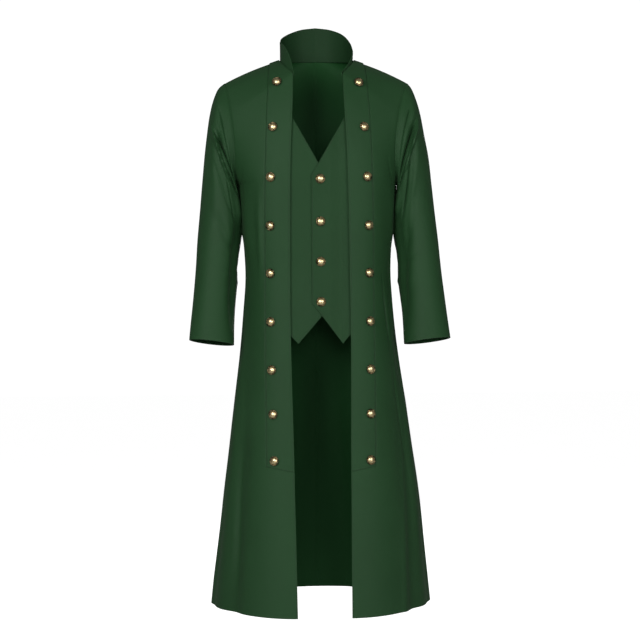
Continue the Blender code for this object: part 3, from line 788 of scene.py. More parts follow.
# %% Rings and creases
# Columns: run, outer line out and height, inner line out and height, front, back.
SLEEVE_RINGS = [
    (0, 0.215, 1.245, 0.187, 1, -0.065, 0.06), (0.06, 0.233, 1.229, 0.1893, 0.992, -0.069, 0.064),
    (0.12, 0.244, 1.2, 0.1892, 0.983, -0.072, 0.067),
    (0.19, 0.252, 1.165, 0.1882, 0.97, -0.073, 0.069),
    (0.27, 0.259, 1.118, 0.1865, 0.952, -0.072, 0.07),
    (0.36, 0.266, 1.062, 0.1842, 0.926, -0.069, 0.069),
    (0.46, 0.2735, 0.99, 0.183, 0.888, -0.066, 0.066),
    (0.58, 0.282, 0.9, 0.19, 0.835, -0.064, 0.06), (0.7, 0.289, 0.812, 0.1958, 0.77, -0.067, 0.05),
    (0.82, 0.2955, 0.735, 0.2, 0.708, -0.077, 0.032),
    (0.92, 0.301, 0.672, 0.202, 0.656, -0.089, 0.01),
    (1, 0.304, 0.632, 0.2025, 0.62, -0.098, -0.008),
]
# How much further out a sleeve's outer side stands. Columns: run, wearer's left, right.
SLEEVE_SWAY = [
    (0, 0, 0), (0.06, -0.006, 0.0005), (0.12, -0.006, 0.002), (0.19, -0.005, 0.0025),
    (0.27, -0.0035, 0.0025), (0.36, -0.0005, 0.0025), (0.46, 0, 0.0015), (0.58, 0.001, 0.001),
    (0.7, 0.0025, 0.0005), (0.82, 0.0035, 0), (1, 0.0045, 0),
]
# Turn is 0 on the outside, 90 in front and 180 inside.
# Columns: side, turn at top, turn at bottom, top run, bottom run, width, depth.
SLEEVE_FOLDS = [
    (-1, 60, 112, 0.06, 0.44, 15, -0.003), (-1, 42, 80, 0.1, 0.5, 14, 0.0026),
    (-1, 100, 128, 0.3, 0.62, 14, 0.003), (1, 62, 118, 0.08, 0.34, 16, -0.003),
    (1, 44, 88, 0.12, 0.36, 14, 0.0026), (1, 84, 118, 0.28, 0.55, 13, -0.003),
    (-1, 285, 240, 0.08, 0.46, 17, -0.0035), (-1, 310, 268, 0.12, 0.5, 16, 0.003),
    (1, 292, 246, 0.08, 0.44, 17, -0.0035), (1, 318, 274, 0.1, 0.48, 16, 0.003),
    (-1, 215, 240, 0.62, 0.8, 20, -0.0045), (1, 210, 236, 0.6, 0.78, 20, -0.0045),
    (-1, 205, 228, 0.72, 0.9, 20, 0.0035), (1, 206, 226, 0.71, 0.88, 20, 0.0035),
]
# Creases that the weight of the sleeve drags from the armhole towards the underarm.
# Columns: side, turn and run at one end, turn and run at the other, width, depth.
DRAG_CREASES = [
    (-1, 56, 0.09, 160, 0.11, 0.006, -0.005), (-1, 66, 0.145, 146, 0.135, 0.005, 0.0032),
    (-1, 40, 0.225, 118, 0.15, 0.006, -0.0034), (-1, 70, 0.185, 152, 0.12, 0.012, -0.0175),
    (-1, 42, 0.215, 116, 0.262, 0.0066, 0.0075), (-1, 108, 0.27, 130, 0.5, 0.006, 0.0028),
    (-1, 122, 0.23, 172, 0.19, 0.013, -0.015), (-1, 107, 0.3, 128, 0.44, 0.0048, -0.0054),
    (-1, 70, 0.33, 126, 0.44, 0.0085, -0.003), (-1, 82, 0.51, 150, 0.61, 0.015, -0.004),
    (-1, 112, 0.62, 156, 0.64, 0.007, -0.0018), (-1, 146, 0.42, 158, 0.86, 0.022, -0.0115),
    (-1, 120, 0.7, 160, 0.69, 0.0065, 0.0014), (-1, 154, 0.05, 156, 0.4, 0.017, 0.0125),
    (1, 46, 0.08, 112, 0.05, 0.0055, -0.0036), (1, 56, 0.148, 150, 0.085, 0.012, -0.017),
    (1, 54, 0.196, 120, 0.18, 0.0066, 0.0078), (1, 98, 0.212, 146, 0.15, 0.0056, 0.0036),
    (1, 118, 0.185, 172, 0.135, 0.0125, -0.015), (1, 104, 0.24, 122, 0.42, 0.006, -0.0026),
    (1, 98, 0.228, 128, 0.43, 0.0046, -0.0052), (1, 84, 0.31, 112, 0.52, 0.0075, 0.0026),
    (1, 116, 0.5, 138, 0.69, 0.015, -0.0042), (1, 104, 0.64, 154, 0.65, 0.0065, -0.0017),
    (1, 144, 0.4, 156, 0.84, 0.021, -0.0095), (1, 154, 0.05, 156, 0.34, 0.017, 0.0125),
    (-1, 304, 0.1, 206, 0.115, 0.006, -0.0044), (-1, 288, 0.185, 210, 0.145, 0.0052, -0.0042),
    (-1, 322, 0.25, 248, 0.285, 0.0064, 0.0038), (-1, 258, 0.27, 208, 0.2, 0.005, -0.005),
    (-1, 252, 0.31, 236, 0.47, 0.0052, -0.0032), (-1, 296, 0.37, 234, 0.46, 0.0085, -0.0026),
    (-1, 206, 0.05, 204, 0.39, 0.016, 0.0105), (-1, 244, 0.6, 190, 0.64, 0.008, -0.0036),
    (-1, 240, 0.68, 196, 0.7, 0.008, 0.0028), (1, 300, 0.11, 208, 0.105, 0.006, -0.0046),
    (1, 280, 0.175, 206, 0.15, 0.0052, -0.004), (1, 314, 0.235, 244, 0.27, 0.0064, 0.004),
    (1, 262, 0.285, 204, 0.195, 0.005, -0.0048), (1, 248, 0.32, 240, 0.44, 0.0052, -0.003),
    (1, 290, 0.35, 240, 0.48, 0.0085, -0.0024), (1, 206, 0.05, 205, 0.36, 0.016, 0.0105),
    (1, 240, 0.585, 192, 0.62, 0.008, -0.0038), (1, 236, 0.67, 194, 0.7, 0.008, 0.0026),
]
METRES_A_DEGREE = 0.00105
CUFF_TIP = 0.0055
ARMHOLE_FADE = 0.27
ARMHOLE_PULL = 1.9
SLEEVE_FADE = 0.08
CREASE_GAP = 0.0046
CREASE_SPREAD = 0.6
CREASE_START = 0.006
CREASE_FULL = (0.22, 0.78)
CREASE_FADE = 0.5
CREASE_PAST = 0.3
CREASE_FREE = 0.05
ALLOWANCE_IN = 0.004
ALLOWANCE_DOWN = 0.0028
CUFF_TURN_ROWS = 9
HALF_RING = 64
SLEEVE_ROWS = 150
SEAM_RUNS = [0.0, 0.002, 0.004, 0.007]
FIRST_RING = 0.010
SLEEVE_LENGTH = 0.65


def armhole_ring(side):
    """The armhole as a ring: top, down the front, underarm, up the back."""
    steps = spaced(UNDERARM, SHOULDER, HALF_RING)
    front = [outer_edge("front", side, level) for level in reversed(steps)]
    back = [outer_edge("back", side, level) for level in steps]
    return [Vector((side * p.x, p.y, p.z)) for p in front + back[1:-1]]


@lru_cache(maxsize=2048)
def creases_at(side, run):
    """Ring sizes at a run, and centre, width and reach of each fold that crosses it."""
    crossing = []
    for which, top_turn, bottom_turn, top, bottom, width, depth in SLEEVE_FOLDS:
        reach = depth * fade(run, top, bottom, SLEEVE_FADE) * min(1.0, run / SLEEVE_FADE)
        if which == side and abs(reach) > NEGLIGIBLE:
            share = (run - top) / (bottom - top)
            crossing.append((top_turn + (bottom_turn - top_turn) * share, width, reach))
    ring = smooth(SLEEVE_RINGS, run)
    ring[0] += smooth(SLEEVE_SWAY, run)[0 if side > 0 else 1]
    return ring, crossing


def dragged(side, turn, run):
    """How far the drag creases move the cloth. Each fades out at both ends."""
    total = 0.0
    across = turn * METRES_A_DEGREE
    down = run * SLEEVE_LENGTH
    for which, turn_a, run_a, turn_b, run_b, width, depth in DRAG_CREASES:
        if which != side:
            continue
        long_x = (turn_b - turn_a) * METRES_A_DEGREE
        long_y = (run_b - run_a) * SLEEVE_LENGTH
        off_x = across - turn_a * METRES_A_DEGREE
        off_y = down - run_a * SLEEVE_LENGTH
        share = (off_x * long_x + off_y * long_y) / (long_x**2 + long_y**2)
        if -CREASE_PAST < share < 1.0 + CREASE_PAST:
            gap = (off_x * long_y - off_y * long_x) / math.hypot(long_x, long_y)
            total += depth * math.exp(-((gap / width) ** 2)) * fade(share, *CREASE_FULL, CREASE_FADE)
    return total * min(1.0, run / CREASE_FREE)


def sleeve_point(side, turn, run):
    """A point of the sleeve's inside: an oval ring, with its folds."""
    (outer_x, outer_z, inner_x, inner_z, front, back), crossing = creases_at(side, run)
    angle = math.radians(turn)
    across = math.cos(angle)
    forward = math.sin(angle)
    half = Vector(((outer_x - inner_x) / 2, 0.0, (outer_z - inner_z) / 2))
    depth = (back - front) / 2
    centre = Vector(((outer_x + inner_x) / 2, (front + back) / 2, (outer_z + inner_z) / 2))
    point = centre + half * across + Vector((0.0, -depth * forward, CUFF_TIP * run * forward))
    out = half.normalized() * across / half.length + Vector((0.0, -forward / depth, 0.0))
    fold = sum(reach * math.exp(-(((turn - mid) / wide) ** 2)) for mid, wide, reach in crossing)
    fold += dragged(side, turn, run)
    fold += UNEVEN * min(1.0, run / 0.1) * noise.noise(point * 11.0 + Vector((side * 5.0, 0.0, 0.0)))
    point += out.normalized() * fold
    return Vector((side * point.x, point.y, point.z))


def sleeve_rows(side):
    """Rings of the sleeve, from the allowance inside the armhole to the cuff."""
    armhole = armhole_ring(side)
    count = len(armhole)
    turns = spaced(0.0, 360.0, count)[:-1]
    plain = [sleeve_point(side, turn, 0.0) for turn in turns]
    middle = sum(armhole, Vector()) / count
    inwards = [Vector((0.0, middle.y - seam.y, middle.z - seam.z)).normalized() for seam in armhole]
    rows = []
    for run in SEAM_RUNS + spaced(FIRST_RING, 1.0, SLEEVE_ROWS):
        keep = max(0.0, 1.0 - run / ARMHOLE_FADE) ** 2
        pull = groove(run * SLEEVE_LENGTH) * ARMHOLE_PULL
        row = []
        for turn, seam, oval, inward in zip(turns, armhole, plain, inwards):
            under = 0.5 - 0.5 * math.cos(math.radians(turn))
            clear = SEAM_CLEAR + CREASE_GAP * under**CREASE_SPREAD * min(1.0, run / CREASE_START)
            away = Vector((side * clear, 0.0, 0.0))
            row.append(sleeve_point(side, turn, run) + (seam + away - oval) * keep - inward * pull)
        rows.append(row)
    down = Vector((side * ALLOWANCE_IN, 0.0, 0.0))
    tucked = [seam + inward * ALLOWANCE_DOWN - down for seam, inward in zip(armhole, inwards)]
    return [tucked] + rows


for side, word in SIDES:
    rows = sleeve_rows(side)
    cuff = len(rows) - CUFF_TURN_ROWS
    cloth[f"sleeve_{word}"] = cloth_piece(f"sleeve_{word}_cloth", rows, (coat_twill, lining),
                                          WALL, 1.0, side < 0, True, lambda row, column: row >= cuff)

# %% [markdown]
# ## Stand collar
# The collar is a band of doubled cloth, stiffened inside, that rises from the neck seam. It
# is high at the back and runs down to nothing at the front ends. The wearer's right end
# stands higher than the left one. Its inner face is the coat's cloth made darker, as painted
# shade inside the neck. The lowest row goes 4 mm down into the neck seam, which closes it.

# %% The collar
# Columns: place from the front end, 0, to the centre back, 2; height on the wearer's right
# and left; lean.
COLLAR = [
    (0, 0.006, 0.004, 0), (0.25, 0.036, 0.006, 0), (0.5, 0.046, 0.01, 0), (0.75, 0.047, 0.015, 0),
    (1, 0.045, 0.024, -0.0005), (1.25, 0.0545, 0.0435, -0.001), (1.5, 0.0655, 0.064, -0.001),
    (1.75, 0.0758, 0.0758, -0.0015), (2, 0.0798, 0.0798, -0.002),
]
COLLAR_ROWS = 16
COLLAR_INSET = 0.0005
COLLAR_WAVE = 0.0009
NECK_TUCK = 0.004
NECK_STEPS = 48


def neck_path():
    """Points of the neck seam from the wearer's left front end round to the right one."""
    upper = spaced(NECK_CORNER, SHOULDER, NECK_STEPS)
    half = [inner_edge("front", 1, level) for level in upper]
    half += [inner_edge("back", 1, level) for level in reversed(upper)][1:]
    other = [Vector((-p.x, p.y, p.z)) for p in reversed(half)][1:]
    return half + other


def collar_rows():
    """The collar's grid, from its allowance up to its top edge."""
    path = neck_path()
    middle = (len(path) - 1) / 2
    rows = []
    for step in range(-1, COLLAR_ROWS + 1):
        share = max(0, step) / COLLAR_ROWS
        row = []
        for k, seam in enumerate(path):
            place = 2.0 - 2.0 * abs(k - middle) / middle
            right, left, lean = smooth(COLLAR, place)
            height = right if k > middle else left
            inward = Vector((-seam.x, -seam.y, 0.0)).normalized()
            wave = COLLAR_WAVE * share * noise.noise(Vector((k * 0.11, 4.0, share)))
            point = seam + inward * (COLLAR_INSET + lean * share + wave)
            rise = SEAM_CLEAR + height * share if step >= 0 else -NECK_TUCK
            row.append(point + Vector((0.0, 0.0, rise)))
        rows.append(row)
    return rows


# The collar's inner face gets the darker copy of the cloth, painted shade inside the neck.
cloth["collar"] = cloth_piece("collar_cloth", collar_rows(), (coat_twill, collar_inside_painted_shade),
                              WALL, -1.0, False)

# %% [markdown]
# ## Waistcoat fronts
# Two short fronts are sewn in behind the coat's edges, so that the coat looks like two
# garments. They are cut straight: a V neck above, a point each side of the middle below,
# and the wearer's left front laps over the right. They lie on the same curve as the fronts
# and a little behind them. Columns are set at each corner of the cut, to keep it crisp.

# %% The waistcoat fronts
RIGHT_TOP = [(-0.095, 1.206), (-0.062, 1.150), (-0.001, 1.040), (0.018, 1.006)]
RIGHT_BOTTOM = [(-0.095, 0.662), (-0.066, 0.638), (-0.050, 0.622), (0.005, 0.686), (0.018, 0.700)]
LEFT_TOP = [(0.095, 1.206), (0.062, 1.150), (-0.001, 1.040), (-0.018, 1.012)]
LEFT_BOTTOM = [(0.095, 0.662), (0.066, 0.638), (0.053, 0.622), (0.005, 0.686), (-0.018, 0.716)]
TUCK_GAP = 0.0036
OVERLAP_LIFT = 0.0034
WAISTCOAT_ROWS = 110
WAISTCOAT_COLUMN = 0.003
WAISTCOAT_WAVE = 0.0010
WAISTCOAT_BUTTONS = [1.003, 0.905, 0.812, 0.719]
WAISTCOAT_BUTTON_X = 0.003


def along(outline, x):
    """Read a straight-sided outline at x."""
    points = sorted(outline)
    for low, high in zip(points, points[1:]):
        if x <= high[0]:
            break
    return low[1] + (high[1] - low[1]) * (x - low[0]) / (high[0] - low[0])


def front_skin(x, z):
    """The inside of the fronts at x and z, carried straight on across the open gap."""
    level = z if z <= UNDERARM else UNDERARM + (z - UNDERARM) / NECK_RISE
    side = 1 if x >= 0 else -1
    edge = inner_edge("front", side, level)
    if abs(x) <= edge.x:
        return Vector((x, edge.y, z))
    return panel_point("front", side, share_at(side, level, abs(x)), level)


def waistcoat_point(side, x, z):
    """A point of the face of a waistcoat front."""
    point = front_skin(x, z)
    point.y += TUCK_GAP
    if side > 0:
        point.y -= OVERLAP_LIFT * fade(x, -1.0, 0.022, 0.028)
    point.y -= WAISTCOAT_WAVE * noise.noise(Vector((x * 12.0, side * 3.0, z * 6.0)))
    near = min(math.hypot(x - WAISTCOAT_BUTTON_X, z - height) for height in WAISTCOAT_BUTTONS)
    point.y += DIMPLE * math.exp(-((near / DIMPLE_WIDTH) ** 2))
    return point


def cut_columns(top, bottom):
    """The x of each column, with every corner of the outline among them."""
    corners = sorted({x for x, z in top + bottom})
    stops = [corners[0]]
    for low, high in zip(corners, corners[1:]):
        count = max(1, round((high - low) / WAISTCOAT_COLUMN))
        stops += spaced(low, high, count)[1:]
    return stops


CUTS = (("left", 1, LEFT_TOP, LEFT_BOTTOM), ("right", -1, RIGHT_TOP, RIGHT_BOTTOM))
for word, side, top, bottom in CUTS:
    columns = []
    for x in cut_columns(top, bottom):
        heights = spaced(along(bottom, x), along(top, x), WAISTCOAT_ROWS)
        columns.append([waistcoat_point(side, x, z) for z in heights])
    rows = [list(row) for row in zip(*columns)]
    cloth[f"waistcoat_{word}"] = cloth_piece(f"waistcoat_{word}_cloth", rows, (waistcoat_twill, lining),
                                             LIGHT_WALL, -1.0, False)
for height in WAISTCOAT_BUTTONS:
    seats.append((waistcoat_point(1, WAISTCOAT_BUTTON_X, height), Vector((0.0, -1.0, 0.0))))
print(len(seats), "button seats in all")

# %% [markdown]
# ## Buttons with Geometry Nodes
# All 22 buttons are the same stamped shell: a dome on a flat plate with a rolled rim, and a
# short shank behind. A shape that repeats is best made once, in a Geometry Nodes tree with
# its sizes as named inputs, and put on points. Each point carries the way its button faces
# in an attribute. A small random tilt with a fixed seed keeps the row from looking drawn
# with a ruler. The tree ends in real geometry, which is then kept as a plain mesh. Both
# trees below, for buttons and for stitches, are started and ended by the same functions.


# %% A tree, its inputs and its result as a mesh
def new_tree(name, sizes, finish):
    """A Geometry Nodes tree with named number inputs and a material input."""
    tree = bpy.data.node_groups.new(name, "GeometryNodeTree")
    tree.interface.new_socket("Geometry", in_out="INPUT", socket_type="NodeSocketGeometry")
    for label, value in sizes.items():
        made = tree.interface.new_socket(label, in_out="INPUT", socket_type="NodeSocketFloat")
        made.default_value = value
    tree.interface.new_socket("Finish", in_out="INPUT", socket_type="NodeSocketMaterial")
    tree.interface.new_socket("Geometry", in_out="OUTPUT", socket_type="NodeSocketGeometry")
    return tree, add_node(tree, "NodeGroupInput").outputs, {**sizes, "Finish": finish}


def joined(tree, *shapes):
    """Several geometries as one."""
    node = tree.nodes.new("GeometryNodeJoinGeometry")
    for shape in shapes:
        tree.links.new(shape, node.inputs[0])
    return node.outputs[0]


def end_tree(tree, shape, points, rotation, finish):
    """Set a rounded shape on points, as real geometry with its finish."""
    add = partial(result, tree)
    rounded = add("GeometryNodeSetShadeSmooth", {"Geometry": shape})
    placed = add("GeometryNodeInstanceOnPoints",
                 {"Points": points, "Instance": rounded, "Rotation": rotation})
    real = add("GeometryNodeRealizeInstances", {"Geometry": placed})
    finished = add("GeometryNodeSetMaterial", {"Geometry": real, "Material": finish})
    add_node(tree, "NodeGroupOutput", {"Geometry": finished})


def grown(name, points, edges, tree, given, facing=()):
    """Run a tree on points or lines and keep the result as a plain mesh piece."""
    plain = bpy.data.meshes.new(f"{name}_source")
    plain.from_pydata([(p.x, p.y, p.z - CARRY_HEIGHT) for p in points], edges, [])
    if facing:
        ways = plain.attributes.new("facing", "FLOAT_VECTOR", "POINT")
        ways.data.foreach_set("vector", [c for out in facing for c in out])
    source = in_scene(plain.name, plain)
    modifier = source.modifiers.new(tree.name, "NODES")
    modifier.node_group = tree
    for socket in tree.interface.items_tree:
        if socket.in_out == "INPUT" and socket.name in given:
            modifier[socket.identifier] = given[socket.name]
    mesh = bpy.data.meshes.new_from_object(source.evaluated_get(bpy.context.evaluated_depsgraph_get()))
    mesh.name = name
    bpy.data.objects.remove(source, do_unlink=True)
    print(f"{name}: {len(mesh.polygons)} faces")
    return in_scene(name, mesh)


# %% The buttons' tree
def button_tree():
    """Instances of one button on points that carry the attribute facing."""
    tree, sizes, given = new_tree("domed_buttons", {
        "Rim Radius": 0.0112, "Rim Bead": 0.0015, "Plate Thickness": 0.0010,
        "Dome Radius": 0.0084, "Dome Height": 0.0050, "Foot Height": 0.0020,
        "Shank Radius": 0.0022, "Tilt": 0.035}, brass)
    add = partial(result, tree)

    def vector(x=0.0, y=0.0, z=0.0):
        return add("ShaderNodeCombineXYZ", {"X": x, "Y": y, "Z": z})

    def scaled(way, factor):
        return add("ShaderNodeVectorMath", {0: way, "Scale": factor}, operation="SCALE")

    def raised(shape, lift, **more):
        return add("GeometryNodeTransform", {"Geometry": shape, "Translation": lift, **more})

    # The upper half of a ball: every point below its middle is moved up to it.
    ball = add("GeometryNodeMeshUVSphere", {"Segments": 32, "Rings": 18, "Radius": 1.0})
    where = add_node(tree, "ShaderNodeSeparateXYZ", {0: add("GeometryNodeInputPosition")}).outputs
    cut = vector(where["X"], where["Y"], calc(tree, "MAXIMUM", where["Z"], 0.0))
    half = add("GeometryNodeSetPosition", {"Geometry": ball, "Position": cut})
    stand = vector(z=sizes["Foot Height"])
    dome_size = vector(sizes["Dome Radius"], sizes["Dome Radius"], sizes["Dome Height"])
    dome = raised(half, stand, Scale=dome_size)

    # The rolled rim, the plate inside it and the shank.
    inside_rim = calc(tree, "SUBTRACT", sizes["Rim Radius"], sizes["Rim Bead"])
    ring = add("GeometryNodeCurvePrimitiveCircle", {"Resolution": 32, "Radius": inside_rim})
    bead = add("GeometryNodeCurvePrimitiveCircle", {"Resolution": 8, "Radius": sizes["Rim Bead"]})
    rim = add("GeometryNodeCurveToMesh", {"Curve": ring, "Profile Curve": bead})
    plate = add("GeometryNodeMeshCylinder",
                {"Vertices": 32, "Radius": inside_rim, "Depth": sizes["Plate Thickness"]})
    shank = add("GeometryNodeMeshCylinder",
                {"Vertices": 12, "Radius": sizes["Shank Radius"], "Depth": sizes["Foot Height"]})
    dull = joined(tree, raised(rim, stand), raised(plate, stand), raised(shank, scaled(stand, 0.5)))
    # The rim, plate and shank take the dark finish: antiquing, darkened further as painted shade round
    # each button.
    dipped_and_painted_shade = add("GeometryNodeStoreNamedAttribute",
                 {"Geometry": dull, "Name": "patina", "Value": 1.0}, data_type="FLOAT", domain="POINT")

    # Each button faces its own way, tilted a little and turned by chance.
    facing = add("GeometryNodeInputNamedAttribute", {"Name": "facing"}, data_type="FLOAT_VECTOR")
    aligned = add("FunctionNodeAlignRotationToVector", {"Vector": facing}, axis="Z")
    spread = vector(sizes["Tilt"], sizes["Tilt"], 3.0)
    chance = add("FunctionNodeRandomValue", {"Min": scaled(spread, -1.0), "Max": spread, "Seed": 22},
                 data_type="FLOAT_VECTOR")
    tilt = add("FunctionNodeEulerToRotation", {0: chance})
    turned = add("FunctionNodeRotateRotation", {0: aligned, 1: tilt}, rotation_space="LOCAL")
    end_tree(tree, joined(tree, dome, dipped_and_painted_shade), sizes["Geometry"], turned, sizes["Finish"])
    return tree, given


buttons = grown("brass_buttons", [p for p, out in seats], [], *button_tree(),
                facing=[out for p, out in seats])

# %% [markdown]
# ## Stitching with Geometry Nodes
# The bands, the front edges, the waistcoat's cut edges and the collar are topstitched 1.5
# to 4.5 mm from the edge in a thread darker than the cloth, whose dark also paints the shade
# of the seam lines. A line of stitches follows a path, so a second tree takes plain lines,
# spaces points along them and lays one short, thick stitch on each, turned along the line.
# Stitches are 3.2 mm apart. The thread is 0.7 mm thick, heavier than in life, so that the
# dark seam lines show in a picture of the whole coat.


# %% The lines that the stitches follow
BAND_SEAM_STITCH = 0.972
BAND_FRONT_STITCH = 0.06
BAND_END_STITCH = 0.0018
EDGE_STITCH = 0.0032
OVERLAP_STITCH = 0.0022
OVERLAP_ENDS = 0.004
WAISTCOAT_STITCH = 0.0045
COLLAR_STITCH = 0.0040


def band_line(side, points):
    """A line on a band through pairs of share across and share up."""
    line = []
    for share, up in points:
        level = band_level(share, up)
        line.append(on_front(side, band_u(side, share, level), level, BAND_LIFT + LIGHT_WALL)[0])
    return line


def collar_line(rows, inner):
    """A line below the collar's top edge, so far in from its outer face."""
    line = []
    for seam, top in list(zip(rows[1], rows[-1]))[6:-6]:
        inward = Vector((-top.x, -top.y, 0.0)).normalized()
        down = min(COLLAR_STITCH, (top.z - seam.z) * 0.5)
        line.append(top - Vector((0.0, 0.0, down)) + inward * inner)
    return line


def stitch_lines():
    """Every topstitched line of the coat, as lists of points."""
    lines = []
    for side, word in SIDES:
        lines.append(band_line(side, [(BAND_SEAM_STITCH, up) for up in spaced(0.0015, 0.997, 160)]))
        lines.append(band_line(side, [(BAND_FRONT_STITCH, up) for up in spaced(0.003, 0.873, 160)]))
        lines.append(band_line(side, [(share, BAND_END_STITCH) for share in spaced(0.03, 0.97, 20)]))
        lines.append([on_front(side, EDGE_STITCH / section("front", side, level)[3], level, WALL)[0]
                      for level in spaced(0.0, BAND_END_FRONT, 60)[1:-1]])
    for word, side, top, bottom in CUTS:
        limit = top[-1][0] * (1 - OVERLAP_STITCH / abs(top[-1][0]))
        stops = [x for x in cut_columns(top, bottom) if (x - limit) * side > 0]
        for outline, inset in ((top, -WAISTCOAT_STITCH), (bottom, WAISTCOAT_STITCH)):
            lines.append([waistcoat_point(side, x, along(outline, x) + inset) for x in stops])
        if side > 0:
            heights = spaced(along(bottom, limit) + OVERLAP_ENDS, along(top, limit) - OVERLAP_ENDS, 90)
            lines.append([waistcoat_point(side, limit, z) for z in heights])
    return lines + [collar_line(collar_rows(), inner) for inner in (0.0, WALL)]


print(len(stitch_lines()), "lines of stitches")


# %% The stitches' tree
def stitch_tree():
    """Short stitches along every line of the mesh it is given."""
    tree, sizes, given = new_tree("topstitching", {
        "Pitch": 0.0032, "Stitch Length": 0.0028, "Thread Thickness": 0.00070}, thread)
    add = partial(result, tree)
    curve = add("GeometryNodeMeshToCurve", {"Mesh": sizes["Geometry"]})
    points = add_node(tree, "GeometryNodeCurveToPoints", {"Curve": curve, "Length": sizes["Pitch"]},
                      mode="LENGTH").outputs
    aligned = add("FunctionNodeAlignRotationToVector", {"Vector": points["Tangent"]}, axis="X")
    size = add("ShaderNodeCombineXYZ", {"X": sizes["Stitch Length"], "Y": sizes["Thread Thickness"],
                                        "Z": sizes["Thread Thickness"]})
    bead = add("GeometryNodeMeshUVSphere", {"Segments": 6, "Rings": 4, "Radius": 0.5})
    stitch = add("GeometryNodeTransform", {"Geometry": bead, "Scale": size})
    end_tree(tree, stitch, points["Points"], aligned, sizes["Finish"])
    return tree, given


stitch_points = []
stitch_edges = []
for line in stitch_lines():
    first = len(stitch_points)
    stitch_edges += [(first + k, first + k + 1) for k in range(len(line) - 1)]
    stitch_points += line
stitches = grown("topstitches", stitch_points, stitch_edges, *stitch_tree())

# %% [markdown]
# ## Hand the pieces to the frame
# Every piece goes with the coat's one body and takes the place of its imported solid. Each
# cloth is listed with the size that it was cut to.

# %% Ride and replace
SHEETS = {
    "front_left": ((0.30, 1.32), 0.265, ["back_left_cloth"]),
    "front_right": ((0.30, 1.32), 0.270, ["back_right_cloth"]),
    "back_left": ((0.34, 1.36), 0.336, ["front_left_cloth"]),
    "back_right": ((0.34, 1.36), 0.337, ["front_right_cloth"]),
    "sleeve_left": ((0.46, 0.66), 0.195, ["front_left_cloth", "back_left_cloth"]),
    "sleeve_right": ((0.46, 0.66), 0.193, ["front_right_cloth", "back_right_cloth"]),
    "collar": ((0.54, 0.085), 0.024, ["back_left_cloth", "back_right_cloth"]),
    "button_band_left": ((0.070, 1.01), 0.059, ["front_left_cloth"]),
    "button_band_right": ((0.070, 1.01), 0.061, ["front_right_cloth"]),
    "waistcoat_left": ((0.115, 0.585), 0.051, ["front_left_cloth"]),
    "waistcoat_right": ((0.115, 0.585), 0.051, ["front_right_cloth"]),
}
for node, (flat, area, carried_by) in SHEETS.items():
    piece = cloth[node]
    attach(piece, "root")
    below = {"front": "_skirt_", "back": "_skirt_", "sleeve": "_lower_"}.get(node.split("_")[0])
    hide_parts(node, *([node.replace("_", below)] if below else []))
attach(buttons, "root")
sewn_on = ("button_left_", "button_right_", "button_waistcoat_")
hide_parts(*[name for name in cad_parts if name.startswith(sewn_on)])
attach(stitches, "root")
print(len(SHEETS), "sheets of cloth, the buttons and the stitches ride on root")

# %% [markdown]
# ## Studio
# The coat hangs in front of a seamless white ground, 0.3 m above it. The light is soft and
# comes mostly from the front: a large key lamp at the left of the camera and above it, a
# weaker fill at the right and a small lamp in the middle. A fourth lamp lights the back,
# and the white room fills the shadows.

# %% Floor, room and lamps
FLOOR_DROP = 0.30
FLOOR_REACH = 14
SEEN_WHITE = 1.05
FELT_WHITE = 0.10
FLOOR_GLOW = 0.95


def white_by_ray(tree, kind, felt, seen):
    """White of one strength as light on the coat, and of another to the camera."""
    strengths = [result(tree, kind, {"Color": linear("#FFFFFF"), "Strength": s}) for s in (felt, seen)]
    path = add_node(tree, "ShaderNodeLightPath").outputs["Is Camera Ray"]
    return result(tree, "ShaderNodeMixShader", {0: path, 1: strengths[0], 2: strengths[1]})


def studio_floor():
    """A wide pale floor, which isn't part of the coat."""
    mesh = bpy.data.meshes.new("studio_floor")
    corners = [(x * FLOOR_REACH, y * FLOOR_REACH, -CARRY_HEIGHT - FLOOR_DROP)
               for x, y in ((-1, -1), (1, -1), (1, 1), (-1, 1))]
    mesh.from_pydata(corners, [], [(0, 1, 2, 3)])
    finish, tree, place = new_material("white_painted_floor")
    tone = blend(tree, grains(tree, place, 2.0, 2.0), "#A8A8A8", "#B4B4B4")
    paint = result(tree, "ShaderNodeBsdfPrincipled",
                   {"Base Color": tone, "Roughness": 0.9, "Specular IOR Level": 0.1})
    glow = white_by_ray(tree, "ShaderNodeEmission", 0.0, FLOOR_GLOW)
    both = result(tree, "ShaderNodeAddShader", {0: paint, 1: glow})
    add_node(tree, "ShaderNodeOutputMaterial", {"Surface": both})
    mesh.materials.append(finish)
    in_scene("studio_floor", mesh)


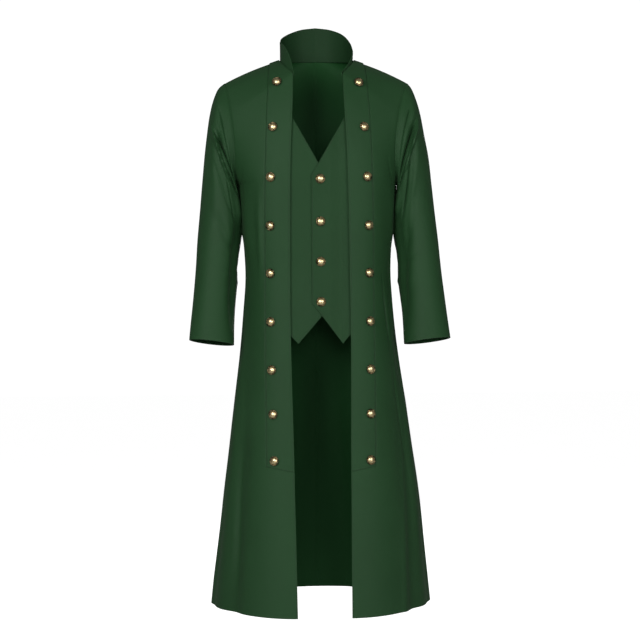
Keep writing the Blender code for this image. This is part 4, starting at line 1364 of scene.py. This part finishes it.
def white_room():
    """White behind the coat, and a gentler white as the light from all round."""
    world = bpy.data.worlds.new("white_room")
    world.use_nodes = True
    world.node_tree.nodes.clear()
    light = white_by_ray(world.node_tree, "ShaderNodeBackground", FELT_WHITE, SEEN_WHITE)
    add_node(world.node_tree, "ShaderNodeOutputWorld", {"Surface": light})
    bpy.context.scene.world = world


def turned_to(way):
    """A turn that points a lamp or a camera along a direction."""
    return Vector(way).to_track_quat("-Z", "Y").to_matrix().to_4x4()


def lamp(name, place, aim, size, watts):
    """A square soft lamp that faces a point."""
    light = bpy.data.lights.new(name, "AREA")
    light.size = size
    light.energy = watts
    made = in_scene(name, light)
    made.matrix_world = Matrix.Translation(place) @ turned_to(Vector(aim) - Vector(place))
    return made


studio_floor()
white_room()
lamp("key", (-1.7, -2.95, 0.5), (0.0, 0.0, -0.5), 1.6, 55.0)
lamp("fill", (1.8, -2.85, 0.1), (0.0, 0.0, -0.5), 1.6, 33.0)
lamp("front", (0.1, -3.4, -0.25), (0.0, 0.0, -0.4), 0.8, 15.0)
lamp("back", (0.3, 3.3, 0.3), (0.0, 0.0, -0.5), 1.6, 60.0).visible_camera = False
print("floor at", round(-CARRY_HEIGHT - FLOOR_DROP, 3), "m, four lamps and a white room")

# %% [markdown]
# ## Camera
# The picture was taken square to the front, from about 3 m, slightly to the left, level
# with the hips. Standard view colours keep the ground white.

# %% The camera
DISTANCE = 3.07
CAMERA_UP = 0.677
AZIMUTH = math.radians(-2.0)
ROLL = math.radians(-0.44)
SHIFTED = 0.0038
SENSOR = 36.0
PICTURE_WIDTH = 640 * 0.0024
camera = in_scene("camera", bpy.data.cameras.new("camera"))
camera.data.sensor_width = SENSOR
camera.data.lens = SENSOR * DISTANCE / PICTURE_WIDTH
camera.data.clip_end = 100.0
look = Vector((-math.sin(AZIMUTH), math.cos(AZIMUTH), 0.0))
side_step = Vector((math.cos(AZIMUTH), math.sin(AZIMUTH), 0.0)) * SHIFTED
stand = -look * DISTANCE + side_step + Vector((0.0, 0.0, CAMERA_UP - CARRY_HEIGHT))
camera.matrix_world = Matrix.Translation(stand) @ turned_to(look) @ Matrix.Rotation(ROLL, 4, "Z")
bpy.context.scene.camera = camera
bpy.context.scene.view_settings.view_transform = "Standard"
print("lens", round(camera.data.lens, 2), "mm at", [round(v, 3) for v in stand])
